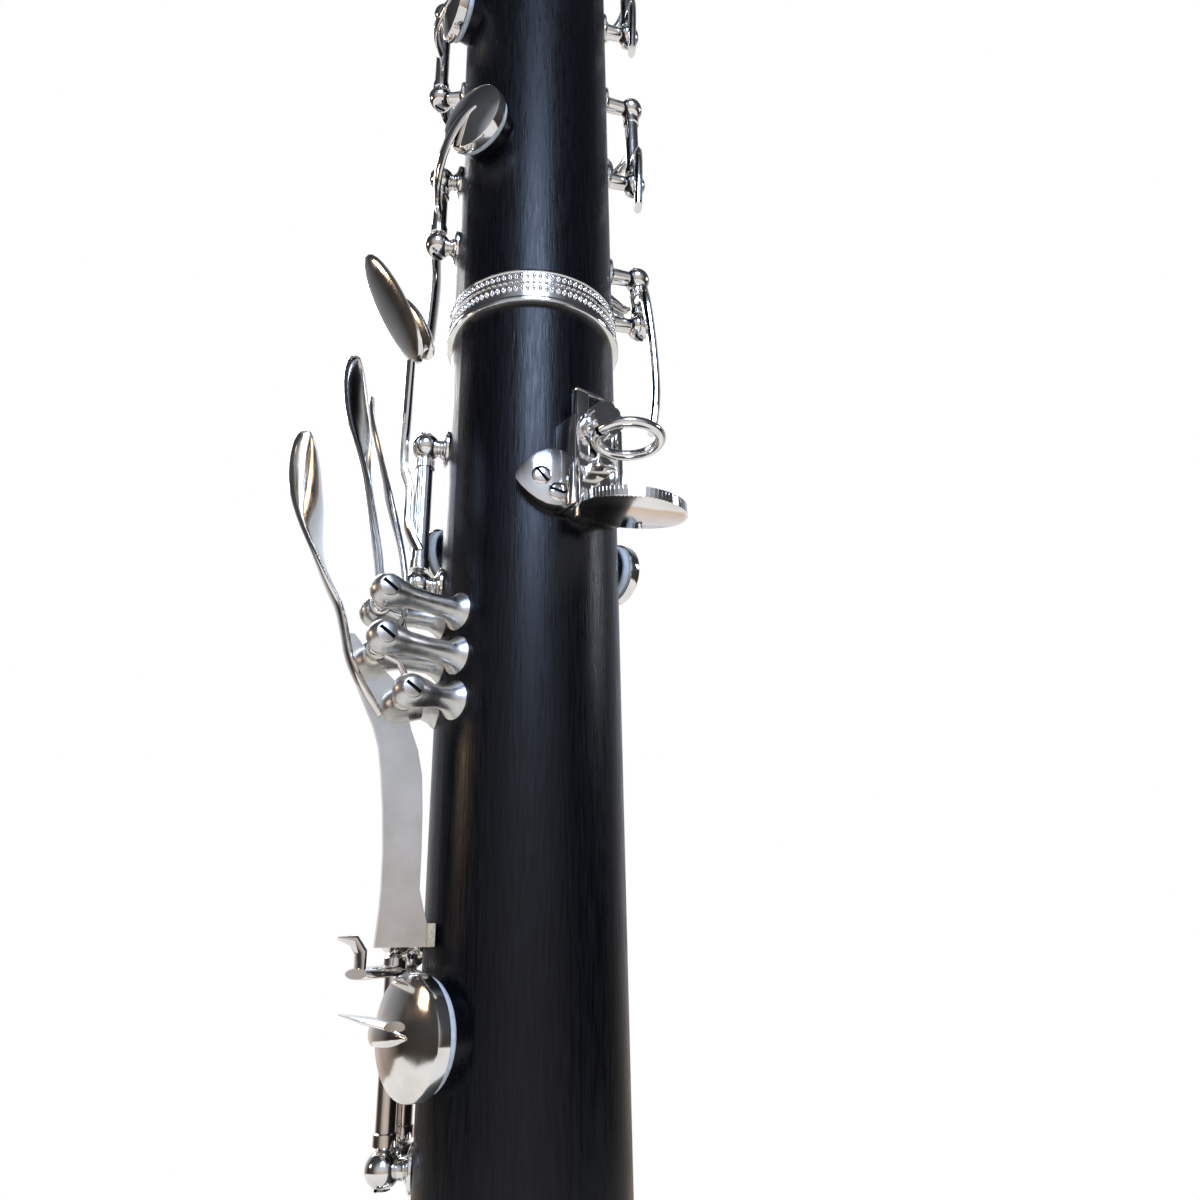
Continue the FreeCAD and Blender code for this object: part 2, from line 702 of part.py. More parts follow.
def ease(share):
    """Give a share that starts and ends gently, held between 0 and 1."""
    share = min(max(share, 0.0), 1.0)
    return share * share * (3.0 - 2.0 * share)


def lever_pivot(name, x, z, low_y, high_y):
    """Give the tube of a lever and the bore in it, both across the lever."""
    base = FreeCAD.Vector(x, low_y, z)
    aim = turn(X, -90)
    tube = cylinder(name + "_tube", "tube_r", "%f" % (high_y - low_y), base, aim)
    bore = cylinder(name + "_bore", "rod_r + rod_play", "%f" % (high_y - low_y), base, aim)
    return tube, bore


def lever_span(shift):
    """Give the ends across a lever of its tube, between its two slanting posts."""
    low = size("lever_front_y") + size("lever_head_r") + size("post_gap") - shift
    high = size("lever_rear_y") - size("lever_head_r") - size("post_gap") - 1.2 - shift
    return low, high


def finish_lever(name, solids, cuts, extra=None):
    """Join a lever, bore it and turn it to its place on the body."""
    metal = cut(name + "_metal", fuse(name + "_joined", solids), fuse(name + "_cuts", cuts))
    node = group(name, [metal] + (extra or []))
    put(node, O, turn(Z, size("lever_az")))
    node.Label = name


def lever_a():
    """Long left-hand lever: leaf touch, bent stem, pivot and a flat plate standing on edge."""
    px, pz = size("lever_a_x"), RING + size("lever_a_z")
    low_y, high_y = lever_span(size("lever_a_shift"))
    mid = (low_y + high_y) / 2.0
    grow = BODY - 18.0
    line = [(46.2, -32.5), (46.0, -38.0), (45.3, -45.0), (43.6, -53.0), (40.6, -61.0), (37.7, -66.5),
            (36.3, -71.0), (35.2, -76.0), (32.4, -81.0), (29.4, -85.0), (26.4, -89.5)]
    line = [(x + grow, RING + z) for x, z in line]
    side = ribbon("lever_a_side", line, size("lever_t"), 9.0, mid)
    face = face_outline("lever_a_outline",
                        leaf_points(mid, RING - 32.3, RING - 45.0, RING - 91.0, 5.6, 1.9), 70.0)
    stem = doc.addObject("Part::Common", "lever_a_stem")
    stem.Base = side
    stem.Tool = face
    body = doc.addObject("PartDesign::Body", "lever_a_plate")
    sketch = sketch_on(body, "XZ_Plane", "lever_a_plate_side")
    shape = [(18.9, -124.0), (19.0, -121.0), (19.8, -118.0), (20.6, -115.0), (20.8, -96.0), (22.0, -91.5),
             (24.4, -88.0), (24.8, -81.2), (27.0, -80.2), (31.0, -79.5), (34.6, -77.6), (32.8, -82.0),
             (30.2, -87.0), (28.6, -93.0), (27.4, -102.0), (26.9, -115.0), (27.4, -124.0)]
    outline(sketch, [(x + grow, RING + z) for x, z in shape])
    pad = body.newObject("PartDesign::Pad", "lever_a_plate_pad")
    pad.Profile = sketch
    pad.Midplane = True
    bind(pad, Length="lever_t - 0.2")
    body.Tip = pad
    put(body, FreeCAD.Vector(0, mid, 0))
    tube, bore = lever_pivot("lever_a", px, pz, low_y, high_y)
    cork = box("lever_a_cork", "1", "3", "3.6", FreeCAD.Vector(17.9 + grow, mid - 1.5, RING - 124.0))
    finish_lever("lever_a", [stem, body, tube], [bore], [cork])


def short_lever(name, line, leaf_sizes, shift, tail, tail_y, tail_half):
    """Short left-hand lever: leaf touch, stem, pivot tube and a tail behind the posts."""
    px, pz = size(name + "_x"), RING + size(name + "_z")
    low_y, high_y = lever_span(0.0)
    mid = (low_y + high_y) / 2.0
    grow = BODY - 18.0
    points = [(x + grow, RING + z) for x, z in line]
    side = ribbon(name + "_side", points, size("lever_t"), 18.0, mid)
    tip, widest, low, wide, narrow = leaf_sizes
    flat = leaf_points(mid, RING + tip, RING + widest, RING + low, wide, narrow)
    slanted = [(y - shift * ease((z - RING + 62.0) / 36.0), z) for y, z in flat]
    face = face_outline(name + "_outline", slanted, 70.0)
    stem = doc.addObject("Part::Common", name + "_stem")
    stem.Base = side
    stem.Tool = face
    tube, bore = lever_pivot(name, px, pz, low_y, high_y)
    bends = [(x + grow, RING + z) for x, z in tail]
    strip = ribbon(name + "_tail", bends, size("lever_t"), tail_half, tail_y)
    finish_lever(name, [stem, tube, strip], [bore])


def lever_posts():
    """Tall posts of the three levers, drilled across, with their pivot screws."""
    posts = []
    screws = []
    drills = []
    placing = turn(Z, size("lever_az"))
    for name in ("lever_a", "lever_b", "lever_c"):
        shift = size("lever_a_shift") if name == "lever_a" else 0.0
        x, z = size(name + "_x"), RING + size(name + "_z")
        rear, front = size("lever_rear_y") - shift, size("lever_front_y") - shift
        for end, y in (("rear", rear), ("front", front)):
            radius = math.hypot(x, y)
            azimuth = math.degrees(math.atan2(y, x))
            aim = turn(Z, azimuth).multiply(turn(Y, 90))
            tag = "%s_%s" % (name, end)
            foot = cone(tag + "_foot", "post_foot_r - 0.3", "2", "4", polar(BODY - 1.0, azimuth, z), aim)
            waist = cone(tag + "_waist", "2", "lever_head_r - 0.6", "%f" % (radius - BODY - 1.5),
                         polar(BODY + 1.0, azimuth, z), aim)
            head = ball(tag + "_head", "lever_head_r", polar(radius, azimuth, z))
            posts.append(fuse(tag + "_post", [foot, waist, head]))
        base = FreeCAD.Vector(x, rear + size("lever_head_r") - 0.9, z)
        shaft = cylinder(name + "_shaft", "rod_r", "%f" % (rear - front + 2.0 * size("lever_head_r") - 0.9),
                         base, turn(X, 90))
        head = cylinder(name + "_screw_head", "1.7", "0.7", base, turn(X, -90))
        slot = box(name + "_slot", "4", "0.6", "0.6",
                   base.add(FreeCAD.Vector(-2.0, 0.3, -0.3)))
        screws.append(cut(name + "_screw", fuse(name + "_screw_blank", [shaft, head]), slot))
        drill = cylinder(name + "_drill", "rod_r", "40", FreeCAD.Vector(x, rear + 8.0, z), turn(X, 90))
        sink = cylinder(name + "_sink", "1.7", "6", base, turn(X, -90))
        drills.extend([drill, sink])
    body = cylinder("lever_post_body", "body_r", "upper_len", FreeCAD.Vector(0, 0, RING - 200.0))
    node = cut("lever_posts", group("lever_posts_raw", posts), fuse("lever_post_cuts", [body] + drills))
    put(node, O, placing)
    node.Label = "lever_posts"
    pins = group("lever_screws", screws)
    put(pins, O, placing)
    pins.Label = "lever_screws"


def thumb_rest_base():
    """Thumb-rest base: a lobed plate bent to the body, with a guide for the sliding bar."""
    z = RING + size("rest_z")
    aim = turn(X, -90)
    reach = "body_r + rest_base_t"
    discs = [cylinder("rest_hub", "rest_hub_r", reach, FreeCAD.Vector(0, 0, z), aim)]
    for side in (-1.0, 1.0):
        discs.append(cylinder("rest_lobe_%d" % (side + 1), "rest_lobe_r", reach,
                              FreeCAD.Vector(side * size("rest_lobe_x"), 0, z), aim))
    shell = cylinder("rest_shell", reach, "30", FreeCAD.Vector(0, 0, z - 15.0))
    plate = doc.addObject("Part::Common", "rest_plate")
    plate.Base = fuse("rest_discs", discs)
    plate.Tool = shell
    half = size("rest_bar_w") / 2.0
    top = BODY + size("rest_base_t")
    block = box("rest_block", "rest_bar_w + 2.6", "rest_base_t + 4.4", "19",
                FreeCAD.Vector(-half - 1.3, BODY - 1.0, z - 7.0))
    channel = box("rest_channel", "rest_bar_w + 0.2", "8", "25",
                  FreeCAD.Vector(-half - 0.1, top + 0.4, z - 10.0))
    thread = cylinder("rest_thread", "rest_screw_r", "12",
                      FreeCAD.Vector(0, BODY - 3.0, RING + size("rest_screw_z")), aim)
    boss = cylinder("rest_boss", "4", "rest_base_t + 1.4",
                    FreeCAD.Vector(0, BODY - 1.0, RING + size("rest_screw_z")), aim)
    holes = rest_screw_places()
    drills = []
    for index, (height, azimuth) in enumerate(holes):
        point = turn(Z, azimuth).multiply(turn(Y, 90))
        drills.append(cylinder("rest_hole_%d" % index, "1", "12", polar(BODY - 1.0, azimuth, height), point))
        drills.append(cylinder("rest_sink_%d" % index, "2", "6", polar(top - 1.2, azimuth, height), point))
    body = cylinder("rest_body", "body_r", "60", FreeCAD.Vector(0, 0, z - 30.0))
    blank = fuse("rest_blank", [plate, block, boss])
    node = cut("thumb_rest_base", blank, fuse("rest_cuts", [channel, thread, body] + drills))
    node.Label = "thumb_rest_base"


def rest_screw_places():
    """Give (height, azimuth) of the four screws of the thumb-rest base."""
    z = RING + size("rest_z")
    places = []
    for azimuth in (60.0, 120.0):
        places.append((z, azimuth))
    for azimuth in (70.5, 109.5):
        places.append((z - 3.2, azimuth))
    return places


def thumb_rest_base_screws():
    """Four countersunk wood screws of the thumb-rest base, each with a slot."""
    screws = []
    top = BODY + size("rest_base_t")
    for index, (height, azimuth) in enumerate(rest_screw_places()):
        aim = turn(Z, azimuth).multiply(turn(Y, 90))
        shank = cylinder("base_screw_shank_%d" % index, "1", "rest_base_t - 1.2",
                         polar(BODY, azimuth, height), aim)
        head = cylinder("base_screw_head_%d" % index, "2", "1", polar(top - 1.2, azimuth, height), aim)
        slot = box("base_screw_slot_%d" % index, "5", "0.6", "0.5",
                   polar(top - 0.7, azimuth, height),
                   turn(Z, azimuth).multiply(turn(Y, 90)))
        slot.Placement = slot.Placement.multiply(
            FreeCAD.Placement(FreeCAD.Vector(-2.5, -0.3, 0), FreeCAD.Rotation()))
        screws.append(cut("base_screw_%d" % index, fuse("base_screw_blank_%d" % index, [shank, head]), slot))
    group("thumb_rest_base_screws", screws).Label = "thumb_rest_base_screws"


def thumb_rest():
    """Sliding bar with its slot, the lug of the strap ring and the rounded hook plate."""
    half = size("rest_bar_w") / 2.0
    y0 = BODY + size("rest_base_t") + 0.5
    low, high = RING + size("rest_bar_bottom"), RING + size("rest_bar_top")
    slide = box("rest_bar", "rest_bar_w", "rest_bar_t", "rest_bar_top - rest_bar_bottom",
                FreeCAD.Vector(-half, y0, low))
    middle = RING + size("rest_screw_z")
    run = size("rest_slot_len") / 2.0 - size("rest_screw_r") - 0.2
    slot = box("rest_slot", "rest_screw_r * 2 + 0.4", "12", "rest_slot_len - rest_screw_r * 2 - 0.4",
               FreeCAD.Vector(-size("rest_screw_r") - 0.2, y0 - 4.0, middle - run))
    ends = [cylinder("rest_slot_end_%d" % index, "rest_screw_r + 0.2", "12",
                     FreeCAD.Vector(0, y0 - 4.0, middle + side * run), turn(X, -90))
            for index, side in enumerate((-1.0, 1.0))]
    y1 = y0 + size("rest_bar_t")
    ring_z = RING + size("strap_ring_z")
    inner = size("strap_ring_y") - size("strap_ring_r") - size("strap_ring_wire") + BODY - 18.0
    lug = box("rest_lug", "4", "%f" % (inner - y1 + 2.4), "2.4",
              FreeCAD.Vector(-2.0, y1 - 0.6, ring_z - 2.4))
    stem = box("rest_lug_stem", "4", "1.8", "4.4", FreeCAD.Vector(-2.0, inner - 0.9, ring_z - 2.4))
    hook = doc.addObject("PartDesign::Body", "rest_hook_side")
    sketch = sketch_on(hook, "YZ_Plane", "rest_hook_profile")
    reach = size("rest_hook_reach") + BODY - 18.0
    drop = size("rest_hook_drop")
    thick = size("rest_hook_t")
    outline(sketch, [(y0, low + 3.0), (y1, low + 3.0), (y1 + 2.0, low + 0.4), (reach, low - drop + thick),
                     (reach, low - drop), (y1 + 1.0, low - 1.6), (y0, low)])
    pad = hook.newObject("PartDesign::Pad", "rest_hook_pad")
    pad.Profile = sketch
    pad.Midplane = True
    bind(pad, Length="rest_hook_r * 2")
    hook.Tip = pad
    round_y = reach - size("rest_hook_r")
    fan = [cylinder("rest_hook_round", "rest_hook_r", "30", FreeCAD.Vector(0, round_y, low - 15.0)),
           box("rest_hook_root", "rest_bar_w", "%f" % (round_y - y0), "30",
               FreeCAD.Vector(-half, y0, low - 15.0))]
    plate = doc.addObject("Part::Common", "rest_hook")
    plate.Base = hook
    plate.Tool = fuse("rest_hook_fan", fan)
    ring_room = cylinder("rest_ring_room", "strap_ring_r + strap_ring_wire", "2",
                         FreeCAD.Vector(0, size("strap_ring_y") + BODY - 18.0, ring_z))
    node = cut("thumb_rest", fuse("rest_joined", [slide, lug, stem, plate]),
               fuse("rest_slots", [slot, ring_room] + ends))
    node.Label = "thumb_rest"


def strap_ring():
    """Strap ring: a turned ring standing level on the thumb rest."""
    low = RING + size("strap_ring_z")
    inner = size("strap_ring_r")
    outer = inner + size("strap_ring_wire")
    body = turned("strap_ring", [(inner, low + 0.4), (inner, low + 1.6), (inner + 0.5, low + 2.0),
                                 (outer - 0.5, low + 2.0), (outer, low + 1.5), (outer, low + 0.5),
                                 (outer - 0.5, low), (inner + 0.5, low)])
    put(body, FreeCAD.Vector(0, size("strap_ring_y") + BODY - 18.0, 0))
    body.Label = "strap_ring"


def thumb_lock_screw():
    """Knurled screw that clamps the sliding bar to its base."""
    y0 = BODY + size("rest_base_t") + 0.5
    z = RING + size("rest_screw_z")
    aim = turn(X, -90)
    shaft = cylinder("lock_shaft", "rest_screw_r - 0.05", "rest_bar_t + rest_base_t + 0.4",
                     FreeCAD.Vector(0, BODY + 0.2, z), aim)
    collar = cylinder("lock_collar", "3", "1", FreeCAD.Vector(0, y0 + size("rest_bar_t") + 0.1, z), aim)
    knob = cylinder("lock_knob", "3.6", "3", FreeCAD.Vector(0, y0 + size("rest_bar_t") + 1.1, z), aim)
    solids = [shaft, collar, knob]
    flutes = flute_tools("lock", 3.6, 3.2, FreeCAD.Vector(0, y0 + size("rest_bar_t") + 1.0, z), aim)
    node = cut("thumb_lock_screw", fuse("lock_joined", solids), flutes)
    node.Label = "thumb_lock_screw"


def flute_tools(name, radius, length, base, aim, count=12):
    """Make the round cutters that flute a knob's edge."""
    tools = []
    for index in range(count):
        angle = 360.0 * index / count
        place = FreeCAD.Placement(base, aim).multVec(polar(radius + 0.15, angle, 0))
        tools.append(cylinder("%s_flute_%d" % (name, index), "0.45", "%f" % length, place, aim))
    return fuse(name + "_flutes", tools)


def spine_tube(name, stations, wall):
    """Loft a tube through (point, direction, radius) stations and hollow it."""
    shells = []
    for tag, less, extend in (("outer", 0.0, 0.0), ("inner", wall, 0.5)):
        rings = []
        for index, (point, ahead, radius) in enumerate(stations):
            circle = doc.addObject("Part::Circle", "%s_%s_%d" % (name, tag, index))
            circle.Radius = radius - less
            shift = 0.0
            if index == 0:
                shift = -extend
            if index == len(stations) - 1:
                shift = extend
            circle.Placement = FreeCAD.Placement(point.add(ahead * shift), FreeCAD.Rotation(Z, ahead))
            rings.append(circle)
        loft = doc.addObject("Part::Loft", "%s_%s" % (name, tag))
        loft.Sections = rings
        loft.Solid = True
        loft.Ruled = False
        loft.MaxDegree = 3
        shells.append(loft)
    return shells


def neck_line(along):
    """Give a point on the neck's straight end, measured from the end of its bend, and its direction."""
    bend = size("neck_bend_r")
    angle = math.radians(size("neck_turn"))
    rise = RING + size("upper_len") + size("neck_rise")
    end = FreeCAD.Vector(0, bend - bend * math.cos(angle), rise + bend * math.sin(angle))
    ahead = FreeCAD.Vector(0, math.sin(angle), math.cos(angle))
    return end.add(ahead * along), ahead


def neck_run(tag, less, extend):
    """Make the neck's straight rise, its bend and its straight end as one solid, less a wall."""
    top = RING + size("upper_len")
    rise = top + size("neck_rise")
    start, ahead = neck_line(0.0)
    lower = cone("neck_rise_" + tag, "neck_low_r - %s" % less, "neck_mid_r - %s" % less,
                 "neck_rise - 6 + %s" % extend, FreeCAD.Vector(0, 0, top + 6.0 - float(extend)))
    bend = doc.addObject("Part::Torus", "neck_bend_" + tag)
    bind(bend, Radius1="neck_bend_r", Radius2="neck_mid_r - %s" % less, Angle3="neck_turn")
    face = FreeCAD.Rotation(FreeCAD.Vector(0, -1, 0), Z, FreeCAD.Vector(-1, 0, 0), "ZXY")
    put(bend, FreeCAD.Vector(0, size("neck_bend_r"), rise), face)
    upper = cone("neck_end_" + tag, "neck_mid_r - %s" % less, "neck_high_r - %s" % less,
                 "neck_end + %s" % extend, start, FreeCAD.Rotation(Z, ahead))
    return fuse("neck_" + tag, [lower, bend, upper])


def neck_tube():
    """Neck: a curved tapering tube with its collar and the tenon that fits the upper joint."""
    top = RING + size("upper_len")
    outer = neck_run("outer", "0", "0")
    inner = neck_run("inner", "neck_wall", "0.5")
    tenon_r = size("neck_socket_r") - 1.2
    bore = size("neck_low_r") - size("neck_wall")
    low = top - size("neck_socket_len") + 0.5
    collar = turned("neck_collar", [
        (bore, low), (tenon_r, low), (tenon_r, low + 20.0), (tenon_r + 1.1, low + 20.0),
        (tenon_r + 1.1, top + 0.1), (BODY - 1.5, top + 0.1), (BODY - 0.6, top + 0.8), (BODY - 0.6, top + 2.6),
        (BODY - 1.8, top + 3.4), (tenon_r + 2.2, top + 4.6), (tenon_r + 1.4, top + 8.0), (bore, top + 8.0)])
    node = cut("neck_tube", fuse("neck_blank", [outer, collar]), inner)
    node.Label = "neck_tube"


def neck_corks():
    """Cork sleeve of the neck's tenon and cork of its mouthpiece end."""
    top = RING + size("upper_len")
    low = top - size("neck_socket_len") + 1.5
    outer = cylinder("neck_cork_outer", "neck_socket_r - play", "18", FreeCAD.Vector(0, 0, low))
    inner = cylinder("neck_cork_inner", "neck_socket_r - 1.2", "18", FreeCAD.Vector(0, 0, low))
    lower = cut("neck_cork_low", outer, inner)
    point, ahead = neck_line(size("neck_end"))
    start = point.sub(ahead * (size("mouth_bore_len") - 4.0))
    aim = FreeCAD.Rotation(Z, ahead)
    sleeve = cylinder("mouth_cork_outer", "mouth_bore_r - play", "mouth_bore_len - 7", start, aim)
    upper = cut("mouth_cork", sleeve, doc.getObject("neck_end_outer"))
    group("neck_corks", [lower, upper]).Label = "neck_corks"


def mouth_place():
    """Give the place of the mouthpiece: local +Z runs to its tip and local +Y to the reed."""
    point, ahead = neck_line(size("neck_end"))
    base = point.sub(ahead * (size("mouth_bore_len") - 1.0))
    return FreeCAD.Placement(base, turn(X, -size("neck_turn")))


def mouth_frustum(name):
    """Make the outer taper of the mouthpiece."""
    return cone(name, "mouth_r", "mouth_tip_r", "mouth_len", O)


def mouthpiece():
    """Mouthpiece: taper with a flat table, a sloped beak, a bore and an open window."""
    length = size("mouth_len")
    blank = mouth_frustum("mouth_blank")
    table = box("mouth_table_cut", "40", "10", "mouth_len",
                FreeCAD.Vector(-20.0, size("table_y"), size("table_start")))
    beak = doc.addObject("PartDesign::Body", "mouth_beak")
    sketch = sketch_on(beak, "YZ_Plane", "mouth_beak_side")
    outline(sketch, [(-size("mouth_r") - 1.0, 50.0), (-size("mouth_tip_r") - 0.9, 54.0),
                     (-7.4, 64.0), (0.0, 75.0), (5.6, 84.0), (size("table_y") - 2.0, length + 0.5),
                     (-size("mouth_r") - 1.0, length + 0.5)])
    pad = beak.newObject("PartDesign::Pad", "mouth_beak_pad")
    pad.Profile = sketch
    pad.Midplane = True
    bind(pad, Length="mouth_r * 2.4")
    beak.Tip = pad
    bore = cylinder("mouth_bore", "mouth_bore_r", "mouth_bore_len", O)
    throat = cone("mouth_throat", "9", "7", "28", FreeCAD.Vector(0, 0, size("mouth_bore_len") - 0.5))
    window = box("mouth_window", "12", "14", "%f" % (length - 6.0 - 52.0),
                 FreeCAD.Vector(-6.0, size("table_y") - 8.0, 52.0))
    chamber = box("mouth_chamber", "12", "9", "16", FreeCAD.Vector(-6.0, -2.0, 50.0))
    node = cut("mouthpiece", blank, fuse("mouth_cuts", [table, beak, bore, throat, window, chamber]))
    node.Placement = mouth_place()
    node.Label = "mouthpiece"


def reed():
    """Reed: flat on the table, square at its butt and scraped thin towards its tip."""
    body = doc.addObject("PartDesign::Body", "reed")
    sketch = sketch_on(body, "YZ_Plane", "reed_side")
    flat = size("table_y")
    tip = size("mouth_len") - 0.6
    butt = tip - size("reed_len")
    thick = size("reed_t")
    outline(sketch, [(flat, butt), (flat + thick, butt), (flat + thick, butt + 26.0),
                     (flat + thick - 1.2, butt + 34.0), (flat + 0.35, tip), (flat, tip)])
    pad = body.newObject("PartDesign::Pad", "reed_pad")
    pad.Profile = sketch
    pad.Midplane = True
    bind(pad, Length="reed_w")
    body.Tip = pad
    body.Placement = mouth_place()
    body.Label = "reed"


def ligature():
    """Ligature: a band round the mouthpiece and reed with two pairs of screw lugs."""
    low, span = size("lig_low"), "lig_len"
    wall = size("lig_wall")
    top_y = size("table_y") + size("reed_t")
    half = size("reed_w") / 2.0
    outer = [cone("lig_outer", "mouth_r + lig_wall - (mouth_r - mouth_tip_r) * lig_low / mouth_len",
                  "mouth_r + lig_wall - (mouth_r - mouth_tip_r) * (lig_low + lig_len) / mouth_len",
                  span, FreeCAD.Vector(0, 0, low)),
             box("lig_outer_box", "reed_w + lig_wall * 2", "table_y + reed_t + lig_wall", span,
                 FreeCAD.Vector(-half - wall, 0, low))]
    core = mouth_frustum("lig_core")
    reed_room = box("lig_reed_room", "reed_w", "table_y + reed_t", "mouth_len", FreeCAD.Vector(-half, 0, 0))
    band = cut("lig_band", fuse("lig_shell", outer), fuse("lig_inside", [core, reed_room]))
    lugs = []
    holes = []
    for index, height in enumerate(lig_screw_heights()):
        for side in (-1.0, 1.0):
            lugs.append(box("lig_lug_%d_%d" % (index, side + 1), "2.4", "5.6", "5",
                            FreeCAD.Vector(side * 4.6 - 1.2, top_y + wall - 0.4, height - 2.5)))
        holes.append(cylinder("lig_hole_%d" % index, "lig_screw_r + play", "30",
                              FreeCAD.Vector(-15.0, top_y + wall + 2.8, height), turn(Y, 90)))
    node = cut("ligature", fuse("lig_joined", [band] + lugs), fuse("lig_holes", holes))
    node.Placement = mouth_place()
    node.Label = "ligature"


def lig_screw_heights():
    """Give the heights of the two ligature screws along the mouthpiece."""
    return (size("lig_low") + 6.0, size("lig_low") + size("lig_len") - 6.0)


def ligature_screws():
    """Two thumb screws with fluted heads across the ligature."""
    y = size("table_y") + size("reed_t") + size("lig_wall") + 2.8
    for name, height in zip(("ligature_screw_low", "ligature_screw_high"), lig_screw_heights()):
        shaft = cylinder(name + "_shaft", "lig_screw_r", "14", FreeCAD.Vector(-7.0, y, height), turn(Y, 90))
        neck = cylinder(name + "_neck", "1.8", "3.8", FreeCAD.Vector(6.0, y, height), turn(Y, 90))
        knob = cylinder(name + "_knob", "3.4", "5", FreeCAD.Vector(9.6, y, height), turn(Y, 90))
        flutes = flute_tools(name, 3.4, 5.4, FreeCAD.Vector(9.4, y, height), turn(Y, 90), 10)
        node = cut(name, fuse(name + "_joined", [shaft, neck, knob]), flutes)
        node.Placement = mouth_place()
        node.Label = name


def bell_start():
    """Give the height at which the bell's straight drop ends and its bow begins."""
    return RING - size("lower_len") - size("tenon_len") - size("bell_drop")


def bow_stations():
    """Give the stations of the bell's bow, which widens as it turns upwards."""
    bend = size("bell_bend_r")
    start = bell_start()
    total = size("bell_turn")
    tube, middle, throat = size("bell_tube_r"), size("bell_mid_r"), size("bell_throat_r")
    stations = []
    count = 10
    for index in range(count + 1):
        share = index / float(count)
        angle = math.radians(total * share)
        point = FreeCAD.Vector(0, -bend + bend * math.cos(angle), start - bend * math.sin(angle))
        ahead = FreeCAD.Vector(0, -math.sin(angle), -math.cos(angle))
        if share < 0.5:
            radius = tube + (middle - tube) * share * 2.0
        else:
            radius = middle + (throat - middle) * (share - 0.5) * 2.0
        stations.append((point, ahead, radius))
    return stations


def flare_curve(less):
    """Give the flare's side as a curve of (radius, length) that opens faster towards its mouth."""
    throat, mouth = size("bell_throat_r"), size("bell_mouth_r")
    count = 8
    points = []
    for index in range(count + 1):
        share = index / float(count)
        grow = (math.exp(2.2 * share) - 1.0) / (math.exp(2.2) - 1.0)
        points.append(FreeCAD.Vector(throat - less + (mouth - throat) * grow,
                                     size("bell_flare_len") * share, 0))
    return points


def bell_flare():
    """Turn the flared mouth about its own axis."""
    body = doc.addObject("PartDesign::Body", "bell_flare")
    sketch = sketch_on(body, "XZ_Plane", "bell_flare_profile")
    outer, inner = flare_curve(0.0), flare_curve(size("bell_wall"))
    for side in (outer, inner):
        curve = Part.BSplineCurve()
        curve.interpolate(side)
        sketch.addGeometry(curve, False)
    sketch.addGeometry(Part.LineSegment(outer[0], inner[0]), False)
    sketch.addGeometry(Part.LineSegment(outer[-1], inner[-1]), False)
    revolve = body.newObject("PartDesign::Revolution", "bell_flare_turned")
    revolve.Profile = sketch
    revolve.ReferenceAxis = (sketch, ["V_Axis"])
    revolve.Angle = 360.0
    body.Tip = revolve
    point, ahead, _ = bow_stations()[-1]
    return put(body, point, FreeCAD.Rotation(Z, ahead))


def bell():
    """Bell: metal socket, upturned bow and flared mouth with a rolled rim."""
    top = RING - size("lower_len")
    foot = top - size("tenon_len")
    start = bell_start()
    outer, inner = spine_tube("bell_bow", bow_stations(), size("bell_wall"))
    bow = cut("bell_bow", outer, inner)
    tube = size("bell_tube_r")
    bore = tube - size("bell_wall")
    socket = turned("bell_socket", [
        (bore, start), (tube, start), (tube, foot - 5.0), (BODY - 0.4, foot - 1.5),
        (BODY, foot + 1.0), (BODY, top - size("ring_len") - 0.1), (BODY - 0.8, top - size("ring_len") - 0.1),
        (BODY - 0.8, top - 0.1), (size("socket_r"), top - 0.1), (size("socket_r"), foot - 0.5),
        (bore, foot - 0.5)])
    point, ahead, _ = bow_stations()[-1]
    mouth = point.add(ahead * size("bell_flare_len"))
    rim = doc.addObject("Part::Torus", "bell_rim")
    bind(rim, Radius1="bell_mouth_r - bell_wall / 2", Radius2="1.6")
    put(rim, mouth, FreeCAD.Rotation(Z, ahead))
    node = fuse("bell", [bow, bell_flare(), socket, rim])
    node.Label = "bell"


def peg_holder():
    """Peg holder: a sleeve soldered under the bow, with a boss for its screw."""
    low = size("peg_holder_low")
    sleeve = cylinder("holder_sleeve", "peg_holder_r", "90", FreeCAD.Vector(0, 0, low))
    collar = cylinder("holder_collar", "peg_holder_r + 1.4", "5", FreeCAD.Vector(0, 0, low))
    boss = cylinder("holder_boss", "4.6", "6", FreeCAD.Vector(0, size("peg_holder_r") - 1.5, low + 16.0),
                    turn(X, -90))
    bore = cylinder("holder_bore", "peg_r + play", "peg_bore_top - peg_holder_low",
                    FreeCAD.Vector(0, 0, low))
    thread = cylinder("holder_thread", "peg_screw_r + play", "20", FreeCAD.Vector(0, 0, low + 16.0),
                      turn(X, -90))
    shape = cut("holder_blank", fuse("holder_joined", [sleeve, collar, boss]),
                doc.getObject("bell_bow_outer"))
    node = cut("peg_holder", shape, fuse("holder_cuts", [bore, thread]))
    node.Label = "peg_holder"


